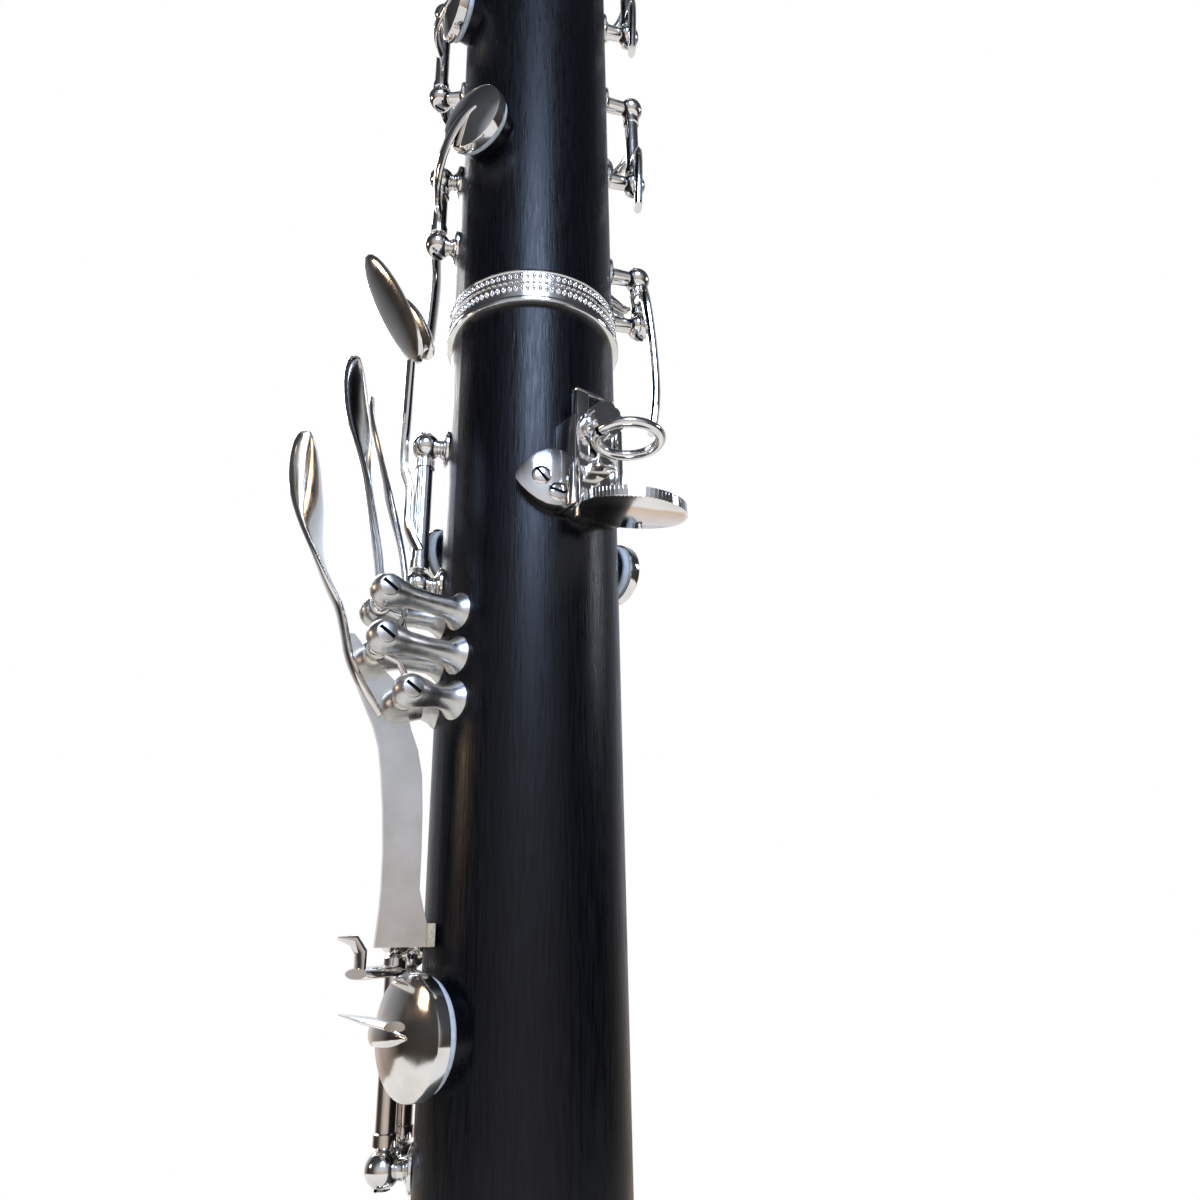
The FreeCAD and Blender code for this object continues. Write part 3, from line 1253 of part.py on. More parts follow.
def peg():
    """Floor peg: steel rod, rubber tip with a flat foot, and the screw that clamps the rod."""
    tip_len = size("peg_tip_len")
    rod = cylinder("peg_rod", "peg_r", "peg_top - 3", FreeCAD.Vector(0, 0, 3.0))
    rod.Label = "peg_rod"
    tip = turned("peg_tip", [(0.0, 0.0), (size("peg_tip_r") - 2.0, 0.0), (size("peg_tip_r"), 2.0),
                             (size("peg_tip_r"), 5.0), (size("peg_tip_r") - 1.2, tip_len),
                             (size("peg_r"), tip_len), (size("peg_r"), 3.0), (0.0, 3.0)])
    tip.Label = "peg_tip"
    height = size("peg_holder_low") + 16.0
    start = size("peg_r") + 0.15
    aim = turn(X, -90)
    shaft = cylinder("peg_screw_shaft", "peg_screw_r", "12", FreeCAD.Vector(0, start, height), aim)
    knob = cylinder("peg_screw_knob", "peg_knob_r", "6", FreeCAD.Vector(0, start + 9.0, height), aim)
    knob_end = FreeCAD.Vector(0, start + 8.8, height)
    flutes = flute_tools("peg_screw", size("peg_knob_r"), 6.4, knob_end, aim, 16)
    screw = cut("peg_screw", fuse("peg_screw_joined", [shaft, knob]), flutes)
    screw.Label = "peg_screw"


def bell_ring():
    """Ring that strengthens the bell's socket."""
    low = RING - size("lower_len") - size("ring_len") - 0.1
    beaded_ring("bell_ring", low, False)


def make_keys():
    """Make every key on a hinge along the body, with its own touch."""
    for key in ("left_index_key", "left_middle_key", "left_ring_key", "right_index_key",
                "right_middle_key", "right_ring_key"):
        top = key_top(key) + size("cup_peak")
        pearl = cylinder(key + "_plate", key + "_pad_r - 0.4", "0.9",
                         polar(top - 0.7, size(key + "_cup_az"), RING + size(key + "_cup_z")),
                         turn(Z, size(key + "_cup_az")).multiply(turn(Y, 90)))
        basic_key(key, [pearl])
    thumb = touch_leaf("thumb_key", key_top("thumb_key") + 1.4, 90.0, 186.0, 12.0, 6.0)
    basic_key("thumb_key", [thumb])
    r = BODY + 6.5
    basic_key("throat_a_key", touch_bar("throat_a_key", "strip",
                                        [(r, -58.0, 266.0), (r + 1.0, -76.0, 263.0)])
              + [touch_leaf("throat_a_key", r + 1.0, -84.0, 262.0, 9.0, 4.2)])
    basic_key("throat_g_key", touch_bar("throat_g_key", "strip",
                                        [(r, -122.0, 246.0), (r + 1.0, -106.0, 243.0)])
              + [touch_leaf("throat_g_key", r + 1.0, -97.0, 241.0, 9.0, 4.2)])
    basic_key("fork_key", touch_bar("fork_key", "strip", [(r, -38.0, 84.5), (r + 2.0, -52.0, 84.0)])
              + [touch_leaf("fork_key", r + 2.2, -58.0, 88.0, 7.0, 3.6)])
    basic_key("c_sharp_key", c_sharp_touch(), 37.0)
    low = size("side_low_key_hinge_off") + BODY
    basic_key("side_low_key", touch_bar("side_low_key", "strip",
                                        [(low, 160.0, 20.6), (low, 146.0, 18.0), (low + 1.2, 144.0, 5.0),
                                         (low + 1.6, 143.0, -10.0), (low + 0.4, 143.0, -20.0)]), 19.0)
    basic_key("side_mid_key", touch_bar("side_mid_key", "strip",
                                        [(low, 160.0, 63.0), (low, 147.0, 61.0), (low - 0.6, 146.0, 44.0)]))
    side_high = [(low, 160.0, 116.0), (low, 147.0, 114.0), (low - 0.6, 146.0, 97.0)]
    basic_key("side_high_key", touch_bar("side_high_key", "strip", side_high))
    basic_key("sliver_key", touch_bar("sliver_key", "strip", [(r, 208.0, -40.0), (r + 1.0, 218.0, -40.0)]))
    basic_key("left_d_key", left_d_touch())
    basic_key("vent_key", vent_hook())
    f_out = BODY + size("f_key_hinge_off")
    basic_key("f_key", touch_bar("f_key", "strip", [(f_out, -54.0, -151.5), (f_out + 4.6, -64.0, -152.5)])
              + [touch_leaf("f_key", f_out + 6.0, -72.0, -154.0, 8.0, 5.0)])
    basic_key("a_flat_key", touch_bar("a_flat_key", "strip", [(r, -60.0, -210.0), (r + 4.0, -52.0, -208.0)])
              + [touch_leaf("a_flat_key", r + 4.6, -47.0, -203.0, 8.0, 4.0)])
    basic_key("low_e_key", low_e_touch(r))
    basic_key("low_e_flat_key", touch_bar("low_e_flat_key", "strip",
                                          [(r, -36.0, -178.0), (r + 3.4, -50.0, -178.0)])
              + [touch_leaf("low_e_flat_key", r + 4.4, -58.0, -180.0, 8.5, 5.0)])


def low_e_touch(r):
    """Raised strip of the low E key and its oval touch above the A flat cup."""
    riser = touch_bar("low_e_key", "riser", [(r, -125.0, -245.0), (r + 6.0, -112.0, -245.0)])
    strip = touch_bar("low_e_key", "strip", [(r + 6.0, -112.0, -245.0), (r + 6.0, -110.0, -182.0)])
    return riser + strip + [touch_leaf("low_e_key", r + 6.6, -101.0, -180.0, 9.0, 5.4)]


def c_sharp_touch():
    """Strip and oval touch of the C sharp key, passing beside its lower post."""
    out = size("c_sharp_key_hinge_off") + BODY
    strip = touch_bar("c_sharp_key", "strip", [(out, -25.0, 34.0), (out + 1.2, -41.0, 31.0),
                                               (out + 0.8, -41.0, 20.0), (out + 1.6, -40.0, 4.0)])
    touch = touch_leaf("c_sharp_key", out + 4.6, -40.0, 6.5, 8.6, 4.6, 38.0)
    return strip + [touch]


def left_d_touch():
    """Long strip and broad oval touch of the upper left-hand lever."""
    out = size("left_d_key_hinge_off") + BODY + 2.6
    strip = touch_bar("left_d_key", "strip", [(out, -25.0, -51.0), (out, -25.0, -36.0),
                                              (out + 1.8, -25.0, -30.0), (out + 1.6, -22.0, -20.0),
                                              (out + 0.6, -16.0, -8.0)])
    riser = touch_bar("left_d_key", "riser", [(out - 2.2, -25.0, -44.0), (out, -25.0, -44.0)])
    touch = touch_leaf("left_d_key", out + 5.9, -14.0, -0.5, 11.5, 5.6, 34.0)
    return strip + riser + [touch]


def vent_hook():
    """Level arm and hook of the vent key that the long lever lifts."""
    az = size("lever_az")
    shift = size("lever_a_shift")
    low, high = lever_span(shift)
    y = (low + high) / 2.0
    grow = BODY - 18.0
    top = RING - 127.8
    hinge_az, radius = hinge_point("vent_key")
    start = polar(radius, hinge_az, top)
    turned_by = turn(Z, az)
    end = turned_by.multVec(FreeCAD.Vector(29.6 + grow, y + 1.0, top))
    arm = bar("vent_level_arm", start, end, "5", "2.2", FreeCAD.Vector(Z))
    hook = box("vent_hook", "1.6", "4", "8",
               turned_by.multVec(FreeCAD.Vector(28.2 + grow, y - 2.0, top - 1.0)), turned_by)
    return [arm, hook]


def check_and_write():
    """Check every object, then write each sub-part to its own file."""
    doc.recompute()
    wrong = [obj.Name for obj in doc.Objects if "Invalid" in obj.State or "Error" in obj.State]
    if wrong:
        raise RuntimeError("objects in error: %s" % wrong)
    nodes = [doc.getObject(name) for name in NODES]
    for name, node in zip(NODES, nodes):
        if node is None or node.Shape.isNull() or not node.Shape.isValid():
            raise RuntimeError("sub-part not valid: %s" % name)
    os.makedirs("parts", exist_ok=True)
    for node in nodes:
        node.Shape.exportStep("parts/%s.step" % node.Label)
        print(node.Label, len(node.Shape.Solids), round(node.Shape.Volume, 1))


upper_joint()
lower_joint()
tenon_corks()
beaded_ring("joint_ring", RING, True)
beaded_ring("top_ring", RING + size("upper_len") - size("ring_len"), False)
bell_ring()
key_posts(UPPER_KEYS, "upper")
key_posts(LOWER_KEYS, "lower")
register_key()
lever_posts()
lever_a()
short_lever("lever_b", [(38.8, -15.5), (38.4, -22.0), (37.2, -30.0), (35.2, -40.0), (33.2, -50.0),
                        (31.6, -58.0), (30.6, -66.0)], (-15.3, -28.0, -67.0, 5.4, 1.9), 0.0,
            [(29.6, -66.5), (26.6, -67.6), (25.4, -71.6)], 5.8, 0.4)
short_lever("lever_c", [(34.2, -17.0), (33.7, -24.0), (31.6, -33.0), (29.3, -44.0), (27.5, -54.0),
                        (26.5, -62.0), (26.5, -68.0), (28.3, -72.0), (30.6, -74.3)],
            (-16.8, -28.0, -75.0, 5.0, 0.65), 10.9, [(29.6, -75.0), (26.6, -76.2), (25.2, -79.0)], 6.6, 0.7)
thumb_rest_base()
thumb_rest_base_screws()
thumb_rest()
strap_ring()
thumb_lock_screw()
neck_tube()
neck_corks()
mouthpiece()
reed()
ligature()
ligature_screws()
bell()
peg_holder()
peg()
make_keys()

NODES = ["upper_joint", "lower_joint", "tenon_corks", "joint_ring", "top_ring", "bell_ring",
         "posts_upper", "posts_lower", "hinge_rods_upper", "hinge_rods_lower", "register_mount",
         "register_key", "lever_posts", "lever_screws", "lever_a", "lever_b", "lever_c",
         "thumb_rest_base", "thumb_rest_base_screws", "thumb_rest", "strap_ring", "thumb_lock_screw",
         "neck_tube", "neck_corks", "mouthpiece", "reed", "ligature", "ligature_screw_low",
         "ligature_screw_high", "bell", "peg_holder", "peg_rod", "peg_tip", "peg_screw"] + list(KEYS)

check_and_write()
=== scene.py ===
import json
import logging
import math
from dataclasses import dataclass
from enum import Enum
from typing import Callable, Optional, Sequence

import bmesh
import bpy
from mathutils import Matrix, Vector


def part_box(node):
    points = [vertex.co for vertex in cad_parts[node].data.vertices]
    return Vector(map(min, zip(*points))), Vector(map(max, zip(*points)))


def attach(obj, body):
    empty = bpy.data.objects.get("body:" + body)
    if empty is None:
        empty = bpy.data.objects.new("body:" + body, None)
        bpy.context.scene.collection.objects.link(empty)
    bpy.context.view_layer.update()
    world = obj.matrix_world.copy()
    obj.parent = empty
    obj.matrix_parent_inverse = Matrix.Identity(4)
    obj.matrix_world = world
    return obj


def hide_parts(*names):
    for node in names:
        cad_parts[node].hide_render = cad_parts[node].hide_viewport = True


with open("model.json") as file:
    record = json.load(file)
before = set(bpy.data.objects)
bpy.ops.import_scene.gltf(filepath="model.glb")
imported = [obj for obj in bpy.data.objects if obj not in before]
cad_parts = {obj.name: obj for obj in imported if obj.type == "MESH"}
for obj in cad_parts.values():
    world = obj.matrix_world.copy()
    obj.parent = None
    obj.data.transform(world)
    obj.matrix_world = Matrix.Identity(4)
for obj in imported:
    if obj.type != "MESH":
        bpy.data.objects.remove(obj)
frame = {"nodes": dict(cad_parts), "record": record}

# Bass clarinet, metres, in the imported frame: +Z runs up the body, +Y is the player's side and
# +X the player's left. Sizes in the classes are millimetres and angles are degrees; heights ending
# in _z are counted from the open end of the middle ring. Every hinge tube has the bore BORE_R, and
# the left-hand levers stand in a frame turned by LEVER_AZ about the body.

LOG = logging.getLogger("bass_clarinet")
MM = 0.001
RING_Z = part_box("joint_ring")[0].z / MM
BODY_R = 18.0
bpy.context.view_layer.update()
UP = Vector((0.0, 0.0, 1.0))
LEFT = Vector((1.0, 0.0, 0.0))
BACK = Vector((0.0, 1.0, 0.0))
BORE_R = 1.13
LEVER_AZ = -15.0


class Slot(Enum):
    """The record's material slots."""

    GRENADILLA = "grenadilla"
    SILVER = "silver_plate"
    NICKEL = "satin_nickel"
    STEEL = "steel"
    CORK = "cork"
    HARD_RUBBER = "hard_rubber"
    CANE = "cane"
    RUBBER = "rubber"


# ---------------------------------------------------------------- finishes


def colour(code: str) -> tuple[float, float, float, float]:
    """Turn an sRGB hex colour to linear.

    Args:
        code: Six hex digits after a hash sign.

    Returns:
        Linear red, green, blue and an alpha of 1.
    """
    parts = [int(code[i:i + 2], 16) / 255.0 for i in (1, 3, 5)]
    linear = [p / 12.92 if p <= 0.04045 else ((p + 0.055) / 1.055) ** 2.4 for p in parts]
    return (linear[0], linear[1], linear[2], 1.0)


def add_node(tree: bpy.types.NodeTree, kind: str, settings: dict, links: dict) -> bpy.types.Node:
    """Add one node with its settings and links.

    Args:
        tree: The material's or world's node tree.
        kind: The node's type name.
        settings: Properties by name; a name that starts with "in:" sets an input socket.
        links: Input socket name or number to the (node, output) that feeds it.

    Returns:
        The new node.
    """
    made = tree.nodes.new(kind)
    for name, value in settings.items():
        if name.startswith("in:"):
            key = name[3:]
            made.inputs[int(key) if key.isdigit() else key].default_value = value
        else:
            setattr(made, name, value)
    for name, (source, output) in links.items():
        tree.links.new(source.outputs[output], made.inputs[name])
    return made


def grain_scale(across_mm: float, along_mm: float) -> tuple[float, float, float]:
    """Give the mapping scale of a pattern of a real size, long along Z.

    Args:
        across_mm: Size of one mark across the grain.
        along_mm: Size of one mark along it.

    Returns:
        Marks per metre on each axis.
    """
    return (1.0 / (across_mm * MM), 1.0 / (across_mm * MM), 1.0 / (along_mm * MM))


@dataclass(frozen=True)
class Finish:
    """A surface made of one or two noise patterns over a plain shader.

    Attributes:
        name: The material's name.
        low: Colour in the pattern's hollows.
        high: Colour on its crests.
        metallic: 1 for a metal.
        rough_low: Roughness in the hollows.
        rough_high: Roughness on the crests.
        across_mm: Width of one mark of the pattern.
        along_mm: Length of one mark along the body.
        detail: Octaves of the noise.
        ramp_from: Noise value that counts as a hollow.
        ramp_to: Noise value that counts as a crest.
        bump: Strength of the relief.
        bump_mm: Depth of the relief.
        coat: Weight of a clear coat.
        coat_rough: Roughness of that coat.
        specular: Specular level of what isn't metal.
        mark_across_mm: Width of the finer marks.
        mark_along_mm: Length of the finer marks.
        mark_bump: Strength of their relief, or 0 for none.
    """

    name: str
    low: str
    high: str
    metallic: float = 0.0
    rough_low: float = 0.3
    rough_high: float = 0.4
    across_mm: float = 1.0
    along_mm: float = 1.0
    detail: float = 3.0
    ramp_from: float = 0.3
    ramp_to: float = 0.7
    bump: float = 0.1
    bump_mm: float = 0.02
    coat: float = 0.0
    coat_rough: float = 0.1
    specular: float = 0.5
    mark_across_mm: float = 0.0
    mark_along_mm: float = 0.0
    mark_bump: float = 0.0

    def build(self) -> bpy.types.Material:
        """Make the material, or give the one already made.

        Returns:
            The material.
        """
        if self.name in bpy.data.materials:
            return bpy.data.materials[self.name]
        material = bpy.data.materials.new(self.name)
        material.use_nodes = True
        tree = material.node_tree
        tree.nodes.clear()
        place = add_node(tree, "ShaderNodeTexCoord", {}, {})
        mapping = add_node(tree, "ShaderNodeMapping",
                           {"in:Scale": grain_scale(self.across_mm, self.along_mm)},
                           {"Vector": (place, "Object")})
        noise = add_node(tree, "ShaderNodeTexNoise", {"in:Scale": 1.0, "in:Detail": self.detail},
                         {"Vector": (mapping, "Vector")})
        spread = add_node(tree, "ShaderNodeMapRange",
                          {"in:1": self.ramp_from, "in:2": self.ramp_to}, {"Value": (noise, 0)})
        tint = add_node(tree, "ShaderNodeMix",
                        {"data_type": "RGBA", "in:6": colour(self.low), "in:7": colour(self.high)},
                        {"Factor": (spread, "Result")})
        rough = add_node(tree, "ShaderNodeMapRange",
                         {"in:3": self.rough_low, "in:4": self.rough_high}, {"Value": (spread, "Result")})
        bump = add_node(tree, "ShaderNodeBump",
                        {"in:Strength": self.bump, "in:Distance": self.bump_mm * MM},
                        {"Height": (noise, 0)})
        if self.mark_bump > 0.0:
            fine = add_node(tree, "ShaderNodeMapping",
                            {"in:Scale": grain_scale(self.mark_across_mm, self.mark_along_mm)},
                            {"Vector": (place, "Object")})
            marks = add_node(tree, "ShaderNodeTexNoise", {"in:Scale": 1.0, "in:Detail": 2.0},
                             {"Vector": (fine, "Vector")})
            bump = add_node(tree, "ShaderNodeBump",
                            {"in:Strength": self.mark_bump, "in:Distance": self.bump_mm * MM},
                            {"Height": (marks, 0), "Normal": (bump, "Normal")})
        shader = add_node(tree, "ShaderNodeBsdfPrincipled",
                          {"in:Metallic": self.metallic, "in:Coat Weight": self.coat,
                           "in:Coat Roughness": self.coat_rough,
                           "in:Specular IOR Level": self.specular},
                          {"Base Color": (tint, 2), "Roughness": (rough, "Result"),
                           "Normal": (bump, "Normal")})
        add_node(tree, "ShaderNodeOutputMaterial", {}, {"Surface": (shader, "BSDF")})
        return material


# Oiled grenadilla, turned and rubbed down: nearly black, with fine pores along the bore that break
# its sheen into short streaks. The pores are drawn about twice as wide as they are, so that they show.
GRENADILLA = Finish("oiled_grenadilla", "#030406", "#090d14", rough_low=0.24, rough_high=0.40,
                    across_mm=0.5, along_mm=7.0, detail=4.0, bump=0.85, bump_mm=0.05, specular=0.28,
                    mark_across_mm=0.2, mark_along_mm=2.6, mark_bump=0.4)
# Polished silver plate: a mirror with faint cloudy finger marks and hairline polishing scratches.
SILVER = Finish("polished_silver_plate", "#d9d6d0", "#f1efec", metallic=1.0, rough_low=0.07,
                rough_high=0.17, across_mm=7.0, along_mm=7.0, detail=4.0, bump=0.04, bump_mm=0.05,
                mark_across_mm=0.35, mark_along_mm=1.4, mark_bump=0.05)
# Satin nickel silver: the levers' posts, turned and left matt.
NICKEL = Finish("satin_nickel_silver", "#c3c2be", "#dddbd6", metallic=1.0, rough_low=0.26,
                rough_high=0.40, across_mm=1.5, along_mm=1.5, bump=0.12, bump_mm=0.03)
# Blued spring and rod steel: darker than the plate, with turning marks.
STEEL = Finish("turned_steel", "#7b7d80", "#9da0a3", metallic=1.0, rough_low=0.22, rough_high=0.34,
               across_mm=0.8, along_mm=0.4, bump=0.1, bump_mm=0.02)
# Sheet cork: soft brown with dark pores and a matt, crumbly face.
CORK = Finish("sheet_cork", "#9d7648", "#d6b383", rough_low=0.85, rough_high=0.95, across_mm=0.9,
              along_mm=0.9, detail=6.0, bump=0.6, bump_mm=0.1, specular=0.2)
# Key cork: pale cream agglomerate, cut square.
KEY_CORK = Finish("cream_key_cork", "#cfb98e", "#efe2c2", rough_low=0.8, rough_high=0.95,
                  across_mm=0.5, along_mm=0.5, detail=5.0, bump=0.5, bump_mm=0.06, specular=0.2)
# Ebonite: moulded and polished black hard rubber.
HARD_RUBBER = Finish("polished_ebonite", "#0a0a0b", "#141415", rough_low=0.12, rough_high=0.22,
                     across_mm=5.0, along_mm=5.0, bump=0.05, bump_mm=0.02, coat=0.2)
# Reed cane: straw-coloured fibres along its length.
CANE = Finish("reed_cane", "#c8a562", "#e6cf97", rough_low=0.5, rough_high=0.65, across_mm=0.4,
              along_mm=12.0, detail=4.0, bump=0.3, bump_mm=0.04)
# Moulded rubber of the peg's foot: matt with a fine grit.
RUBBER = Finish("moulded_rubber", "#141414", "#1f1f1f", rough_low=0.6, rough_high=0.75,
                across_mm=0.6, along_mm=0.6, bump=0.3, bump_mm=0.04, specular=0.3)
# Pad skin: two layers of thin pale blue-white membrane over felt, slightly puckered.
PAD_SKIN = Finish("pad_membrane", "#d4e0e6", "#eef4f6", rough_low=0.42, rough_high=0.6,
                  across_mm=1.4, along_mm=1.4, detail=3.0, bump=0.25, bump_mm=0.08)
# Painted shade for a screw's slot: a near-black block laid on the head where the slot's recess would be in
# shade.
SLOT_PAINTED_SHADE = Finish("slot_shadow", "#050505", "#0c0c0c", rough_low=0.7, rough_high=0.8,
                   across_mm=0.5, along_mm=0.5, specular=0.1)

FINISH_OF_SLOT = {
    Slot.GRENADILLA.value: GRENADILLA,
    Slot.SILVER.value: SILVER,
    Slot.NICKEL.value: NICKEL,
    Slot.STEEL.value: STEEL,
    Slot.CORK.value: CORK,
    Slot.HARD_RUBBER.value: HARD_RUBBER,
    Slot.CANE.value: CANE,
    Slot.RUBBER.value: RUBBER,
}


def dress_carried_nodes() -> None:
    """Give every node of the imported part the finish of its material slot."""
    slots = {row["node"]: row["material_slot"] for row in frame["record"]["subparts"]}
    for name, node in frame["nodes"].items():
        material = FINISH_OF_SLOT[slots[name]].build()
        node.data.materials.clear()
        node.data.materials.append(material)


# ---------------------------------------------------------------- shaping


def polar(radius: float, azimuth: float, height: float) -> Vector:
    """Give the point at a radius, azimuth and height, in millimetres and degrees."""
    angle = math.radians(azimuth)
    return Vector((radius * math.cos(angle), radius * math.sin(angle), height))


@dataclass
class Ring:
    """One cross-section of a lofted form, in millimetres.

    Attributes:
        centre: Middle of the section.
        ahead: Direction in which the form runs on.
        side: Direction of the section's width.
        half_w: Half of its width.
        half_t: Half of its thickness.
    """

    centre: Vector
    ahead: Vector
    side: Vector
    half_w: float
    half_t: float

    def matrix(self) -> Matrix:
        """Give the section's place.

        Returns:
            A matrix whose Z axis runs ahead and whose X axis is the section's width.
        """
        ahead = self.ahead.normalized()
        side = (self.side - ahead * self.side.dot(ahead)).normalized()
        up = ahead.cross(side)
        basis = Matrix((side, up, ahead)).transposed().to_4x4()
        return Matrix.Translation(self.centre) @ basis


class Piece:
    """A new piece, shaped in edit mode from rings that are bridged one to the next."""

    smooth_below = 38.0
    bevel_above = 50.0
    least_r = 0.02

    def __init__(self, name: str, place: Optional[Matrix] = None) -> None:
        """Start an empty piece at the origin.

        Args:
            name: The piece's name.
            place: Turn and shift of everything in the piece, in millimetres.
        """
        self.name = name
        self.place = place or Matrix.Identity(4)
        bpy.ops.object.select_all(action="DESELECT")
        bpy.ops.mesh.primitive_plane_add(size=MM, location=(0.0, 0.0, 0.0))
        self.object = bpy.context.object
        self.object.name = name
        self.object.data.name = name
        bpy.ops.object.mode_set(mode="EDIT")
        bpy.ops.mesh.select_all(action="SELECT")
        bpy.ops.mesh.delete(type="VERT")

    def _ring(self, ring: Ring, sides: int, square: bool) -> None:
        """Add one section as a circle, or as a rectangle when it is square.

        Args:
            ring: The section.
            sides: Its number of corners.
            square: Whether it is a rectangle, whose corners a circle of four corners reaches when
                it is grown by the root of two and turned by an eighth.
        """
        matrix = self.place @ ring.matrix()
        grow = math.sqrt(2.0) if square else 1.0
        if square:
            matrix = matrix @ Matrix.Diagonal((ring.half_w, ring.half_t, 1.0, 1.0))
            matrix = matrix @ Matrix.Rotation(math.radians(45.0), 4, "Z")
        before = len(bmesh.from_edit_mesh(self.object.data).verts)
        bpy.ops.mesh.primitive_circle_add(vertices=sides, radius=MM, location=(0.0, 0.0, 0.0))
        net = bmesh.from_edit_mesh(self.object.data)
        net.verts.ensure_lookup_table()
        for vert in net.verts[before:]:
            local = Vector((vert.co.x / MM * grow, vert.co.y / MM * grow, 0.0))
            if not square:
                local = Vector((local.x * ring.half_w, local.y * ring.half_t, 0.0))
            vert.co = (matrix @ local) * MM
        bmesh.update_edit_mesh(self.object.data)

    def _select(self, low: int, high: int) -> None:
        """Select the vertices numbered from low up to high and the edges between them, and no others.

        Args:
            low: The first number.
            high: The number after the last.
        """
        net = bmesh.from_edit_mesh(self.object.data)
        net.verts.ensure_lookup_table()
        for face in net.faces:
            face.select = False
        for edge in net.edges:
            edge.select = all(low <= v.index < high for v in edge.verts)
        for vert in net.verts:
            vert.select = low <= vert.index < high
        bmesh.update_edit_mesh(self.object.data)

    def loft(self, rings: Sequence[Ring], sides: int = 16, square: bool = False,
             capped: bool = True) -> "Piece":
        """Bridge a row of sections, each to the next.

        Args:
            rings: The sections in order.
            sides: Corners of each section; four when it is square.
            square: Whether the sections are rectangles.
            capped: Whether the first and the last section are filled.

        Returns:
            This piece.
        """
        sides = 4 if square else sides
        start = len(bmesh.from_edit_mesh(self.object.data).verts)
        for index, ring in enumerate(rings):
            self._ring(ring, sides, square)
            if index:
                self._select(start + (index - 1) * sides, start + (index + 1) * sides)
                bpy.ops.mesh.bridge_edge_loops()
        if capped:
            for first in (start, start + (len(rings) - 1) * sides):
                self._select(first, first + sides)
                bpy.ops.mesh.edge_face_add()
        return self

    def block(self, foot: Vector, ahead: Vector, side: Vector, half: tuple[float, float],
              span: tuple[float, float]) -> "Piece":
        """Add a square block along a line.

        Args:
            foot: The point on the line that the span is counted from.
            ahead: The line's direction.
            side: Direction of the block's width.
            half: Half of its width and half of its thickness.
            span: Where it starts and ends on the line.

        Returns:
            This piece.
        """
        return self.loft([Ring(foot + ahead * along, ahead, side, *half) for along in span], square=True)

    def turned(self, base: Vector, ahead: Vector, profile: Sequence[tuple[float, float]],
               sides: int = 32) -> "Piece":
        """Turn a profile about a line.

        Args:
            base: A point on the line.
            ahead: The line's direction.
            profile: (radius, distance along the line) pairs, in order.
            sides: Corners of each circle.

        Returns:
            This piece.
        """
        ahead = ahead.normalized()
        side = ahead.orthogonal()
        rings = [Ring(base + ahead * along, ahead, side, max(radius, self.least_r),
                      max(radius, self.least_r)) for radius, along in profile]
        return self.loft(rings, sides)

    def finish(self, finish: Finish, body: str, slot: Slot, nodes: Sequence[str] = (),
               bevel_mm: float = 0.0) -> bpy.types.Object:
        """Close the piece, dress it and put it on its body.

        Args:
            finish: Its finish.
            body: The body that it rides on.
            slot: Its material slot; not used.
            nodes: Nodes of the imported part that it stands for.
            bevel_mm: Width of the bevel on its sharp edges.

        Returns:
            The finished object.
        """
        bpy.ops.mesh.select_all(action="SELECT")
        bpy.ops.mesh.normals_make_consistent(inside=False)
        bpy.ops.object.mode_set(mode="OBJECT")
        if bevel_mm > 0.0:
            bevel = self.object.modifiers.new("edge", "BEVEL")
            bevel.width = bevel_mm * MM
            bevel.segments = 2
            bevel.limit_method = "ANGLE"
            bevel.angle_limit = math.radians(self.bevel_above)
            bpy.ops.object.modifier_apply(modifier=bevel.name)
        bpy.ops.object.shade_smooth_by_angle(angle=math.radians(self.smooth_below))
        self.object.data.materials.append(finish.build())
        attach(self.object, body)
        if nodes:
            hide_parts(*nodes)
        LOG.info("piece %s: %d faces on %s", self.name, len(self.object.data.polygons), body)
        return self.object


def bezier(points: Sequence[Vector], count: int) -> list[Vector]:
    """Give points along a Bezier curve through its first and last control point.

    Args:
        points: Three or four control points.
        count: How many points to give.

    Returns:
        The points, both ends included.
    """
    made = []
    for index in range(count):
        share = index / (count - 1.0)
        row = list(points)
        while len(row) > 1:
            row = [a.lerp(b, share) for a, b in zip(row, row[1:])]
        made.append(row[0])
    return made


def heading(path: Sequence[Vector], index: int) -> Vector:
    """Give the direction of a path at one of its points, from the point before to the next."""
    return path[min(index + 1, len(path) - 1)] - path[max(index - 1, 0)]


def ease(share: float) -> float:
    """Give a share from 0 to 1, held at both ends, as one that starts and stops gently."""
    held = min(max(share, 0.0), 1.0)
    return held * held * (3.0 - 2.0 * held)


def rings_along(path: Sequence[Vector], facing: Callable[[Vector], Vector],
                sizes: Sequence[tuple[float, float]]) -> list[Ring]:
    """Give the sections of a strip along a path.

    Args:
        path: Middles of the sections.
        facing: Gives the direction that the strip's flat side faces at a point.
        sizes: Half width and half thickness at each point.

    Returns:
        One section for each point.
    """
    rings = []
    for index, point in enumerate(path):
        ahead = heading(path, index)
        side = facing(point).cross(ahead)
        rings.append(Ring(point, ahead, side, *sizes[index]))
    return rings


def outward(point: Vector) -> Vector:
    """Give the direction straight out from the body axis."""
    return Vector((point.x, point.y, 0.0)).normalized()


# ---------------------------------------------------------------- rings and posts


